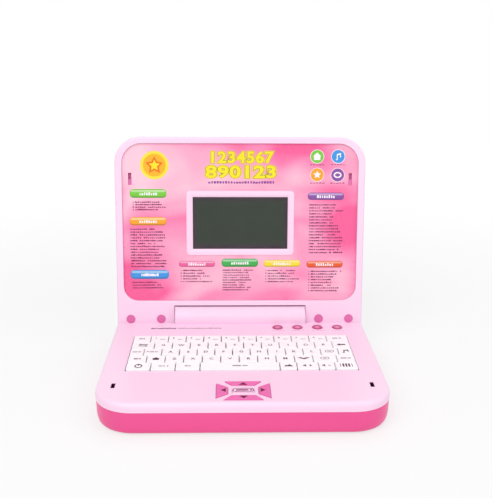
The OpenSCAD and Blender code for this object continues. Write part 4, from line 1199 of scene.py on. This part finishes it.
arrow_left = sign((-4.2, 0), (-1.4, 2.6), (-1.4, 1.2), (4.0, 1.2), (4.0, -1.2), (-1.4, -1.2), (-1.4, -2.6))
arrow_both = several(sign((-4.6, 1.6), (-2.2, 3.3), (-2.2, 2.3), (4.2, 2.3), (4.2, 0.9), (-2.2, 0.9),
                          (-2.2, 0.0)),
                     sign((4.6, -1.8), (2.2, -0.2), (2.2, -1.1), (-4.2, -1.1), (-4.2, -2.5), (2.2, -2.5),
                          (2.2, -3.5)))
hill_sign = sign((-4.2, -1.8), (-2.0, 1.2), (-0.9, 0.0), (1.0, 2.6), (4.2, -1.8))
wave_sign = sign((-4.4, 0.9), (-2.0, 1.5), (0.0, 0.2), (2.2, 1.4), (4.4, 1.0), (2.0, -0.6), (0.2, -1.7),
                 (-2.2, -0.4), size=1.3)
house_sign = sign((-2.8, -2.4), (2.8, -2.4), (2.8, 0.2), (3.6, 0.2), (0, 3.0), (-3.6, 0.2), (-2.8, 0.2))
note_sign = sign((-2.6, -2.6), (-1.4, -1.8), (-1.4, 1.8), (2.6, 2.8), (2.6, -0.8), (1.6, -0.8), (1.6, 1.2),
                 (-0.6, 0.6), (-0.6, -2.6), (-1.6, -3.4), size=1.25)
print("signs ready")

# %% Legends of each key
legends = {
    "key_escape": [word(5.6, high=1.6)],
    "keys_digits": [digit(text) for text in "1234567890"],
    "key_backspace": [word(8.6, high=1.6)],
    "key_tab": [arrow_both],
    "keys_letters_upper": [letter(text) for text in "QWERTYUIOP"],
    "key_bracket": [arrow_left],
    "key_mode": [word(8.0)],
    "key_capitals": [several(word(7.6, 0.8), letter("A", -4.8, 0.8, 2.8))],
    "keys_letters_middle": [letter(text) for text in "ASDFGHJKL"],
    "key_repeat": [frame_sign],
    "key_music": [note_sign],
    "keys_games": [word(6.6, high=2.0, paint=ink_bold), house_sign],
    "keys_letters_lower": [letter(text) for text in "ZXCVBNM"] + [wave_sign],
    "key_shift": [frame_sign],
    "key_return": [word(9.6, high=1.6, paint=ink_bold)],
    "key_power": [power_sign],
    "key_help": [several(word(5.8, -1.0), letter("?", 4.2, 0.0, 3.2))],
    "key_answer": [word(5.4, high=1.5)],
    "key_space": [word(13.5, high=1.5)],
    "key_level": [hill_sign],
    "key_louder": [plus_sign],
    "key_softer": [minus_sign],
    "key_piano": [piano_sign],
}
for node, entries in legends.items():
    page = Drawing(node + "_legend", deck_sheet, -LEGEND_UP, node)
    for legend, (low, high) in zip(entries, cap_boxes[node]):
        legend(page, (low.x + high.x) / 2, (low.y + high.y) / 2)
    page.finish("key_white")
print(sum(len(entries) for entries in legends.values()), "legends")

# %% [markdown]
# ## Print on the deck and the direction pad
#
# A line of small print runs along the deck above the keys, and each round button has a short caption. The
# wedges of the direction pad carry dark triangles, and the middle key a thin frame round a dash.

# %% Deck print
LINE_UP, CAPTION_IN, CAPTION_DOWN = 5.0, 1.5 * MM, 1.2 * MM
line_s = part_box("button_1")[0][1] / MM + LINE_UP
small_print("deck_start", in_mm((-88, -65.5, line_s)), ink_text, 6, 2.5 * MM, 3.4 * MM, where=on_deck)
small_print("deck_line", in_mm((-62, -20, line_s)), ink_text, 8, 1.7 * MM, 2.0 * MM, where=on_deck)
captions = [(low[0] + CAPTION_IN, high[0] - CAPTION_IN, low[1] - CAPTION_DOWN)
            for low, high in map(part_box, round_buttons)]
small_print("button_captions", captions, ink_caption, 4, 2.4 * MM, 0.8 * MM, where=on_deck)
print(len(captions), "captions")

# %% Direction pad print
enter_low, enter_high = map(Vector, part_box("pad_enter"))
pad_middle = (enter_low + enter_high) / 2
pad_face = deck_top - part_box("pad_up")[1][2]
# offset from the pad's middle and corners about it, in mm
triangles = {
    "up": (0.0, 11.9, ((-3.7, -2.3), (3.7, -2.3), (0, 2.4))),
    "down": (0.0, -12.7, ((3.7, 2.4), (-3.7, 2.4), (0, -2.5))),
    "left": (-16.6, 0.0, ((1.9, -3.6), (1.9, 3.6), (-2.3, 0))),
    "right": (16.4, 0.0, ((-1.9, 3.6), (-1.9, -3.6), (2.3, 0))),
}
for side, (dx, ds, corners) in triangles.items():
    page = Drawing("pad_mark_" + side, deck_sheet, pad_face, "pad_" + side)
    page.plate(ink_maroon, polygon(pad_middle.x + dx * MM, pad_middle.y + ds * MM, corners))
    page.finish("button_pink")

FRAME_WIDE, FRAME_HIGH, LINE_WIDE, LINE_HIGH = 17.9, 6.5, 0.8, 0.96
page = Drawing("pad_mark_enter", deck_sheet, pad_face, "pad_enter")
spot = pad_middle.x, pad_middle.y
page.ring(ink_line, bar_mm(*spot, 0, 0, FRAME_WIDE, FRAME_HIGH, 2.2),
          bar_mm(*spot, 0, 0, FRAME_WIDE - 2 * LINE_WIDE, FRAME_HIGH - 2 * LINE_HIGH, 1.2))
for dx, wide in ((-1.0, 10.4), (6.6, 1.8)):
    page.plate(ink_line, bar_mm(*spot, dx, 0, wide, 2.4, 0.4))
page.finish("case_pink_pale")
print("middle key", [round(v / MM, 1) for v in enter_high - enter_low], "mm")

# %% [markdown]
# ## Painted shade in the deck's latch slots
#
# Each slot of the deck is lined with a dark ring of painted shade, which hides the lit inner wall of the
# slot and starts a little below the deck's face.

# %% Painted shade in the slots
SLOT_X, SLOT_FRONT, SLOT_WIDE, SLOT_LONG = 110.2 * MM, 34.2 * MM, 3.4 * MM, 9 * MM
SLOT_SHADE_GAP, SLOT_SHADE_WALL, SLOT_SHADE_DEEP, SLOT_SHADE_DOWN = 0.03 * MM, 0.3 * MM, 1.8 * MM, 0.3 * MM
slot_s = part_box("base_top_deck")[0][1] + SLOT_FRONT
page = Drawing("slot_sleeves", deck_sheet, SLOT_SHADE_DOWN, "base")
# a dark ring of painted shade inside each slot
for side in (-1, 1):
    outlines = [bar(side * SLOT_X, slot_s, SLOT_WIDE - 2 * inset, SLOT_LONG - 2 * inset, SLOT_SHADE_WALL)
                for inset in (SLOT_SHADE_GAP, SLOT_SHADE_GAP + SLOT_SHADE_WALL)]
    page.ring(ink_seam, *outlines, thick=SLOT_SHADE_DEEP)
page.finish("inner_plastic")
print("slot sleeves", round(SLOT_SHADE_DEEP / MM, 1), "mm deep")

# %% [markdown]
# ## Painted shade round the hinge block
#
# The notch of the lid is lined with a narrow dark band of painted shade, which darkens the gap round the
# hinge block; it keeps a third of a millimetre clear of the hinge block, which is round about the hinge
# axis.

# %% Painted shade in the notch
NOTCH_HALF, NOTCH_TOP, NOTCH_LOW = 66.9 * MM, 12.4 * MM, -3.0 * MM
SHADE_SIDE, SHADE_TOP, SHADE_IN = 0.5 * MM, 0.95 * MM, 0.3 * MM
frame_face = box_on(lid_sheet, "lid_front_frame")[0].y
page = Drawing("notch_seam", lid_sheet, frame_face + SHADE_IN, "lid")
inner, lower = NOTCH_HALF - SHADE_SIDE, NOTCH_TOP - SHADE_TOP
# a dark plate of painted shade round the notch
page.plate(ink_seam, [(-NOTCH_HALF, NOTCH_LOW), (-inner, NOTCH_LOW), (-inner, lower), (inner, lower),
                      (inner, NOTCH_LOW), (NOTCH_HALF, NOTCH_LOW), (NOTCH_HALF, NOTCH_TOP),
                      (-NOTCH_HALF, NOTCH_TOP)])
page.finish("inner_plastic")
print("notch seam", round(2 * inner / MM, 1), "mm wide")

# %% [markdown]
# ## The end

# %% End
print("done")
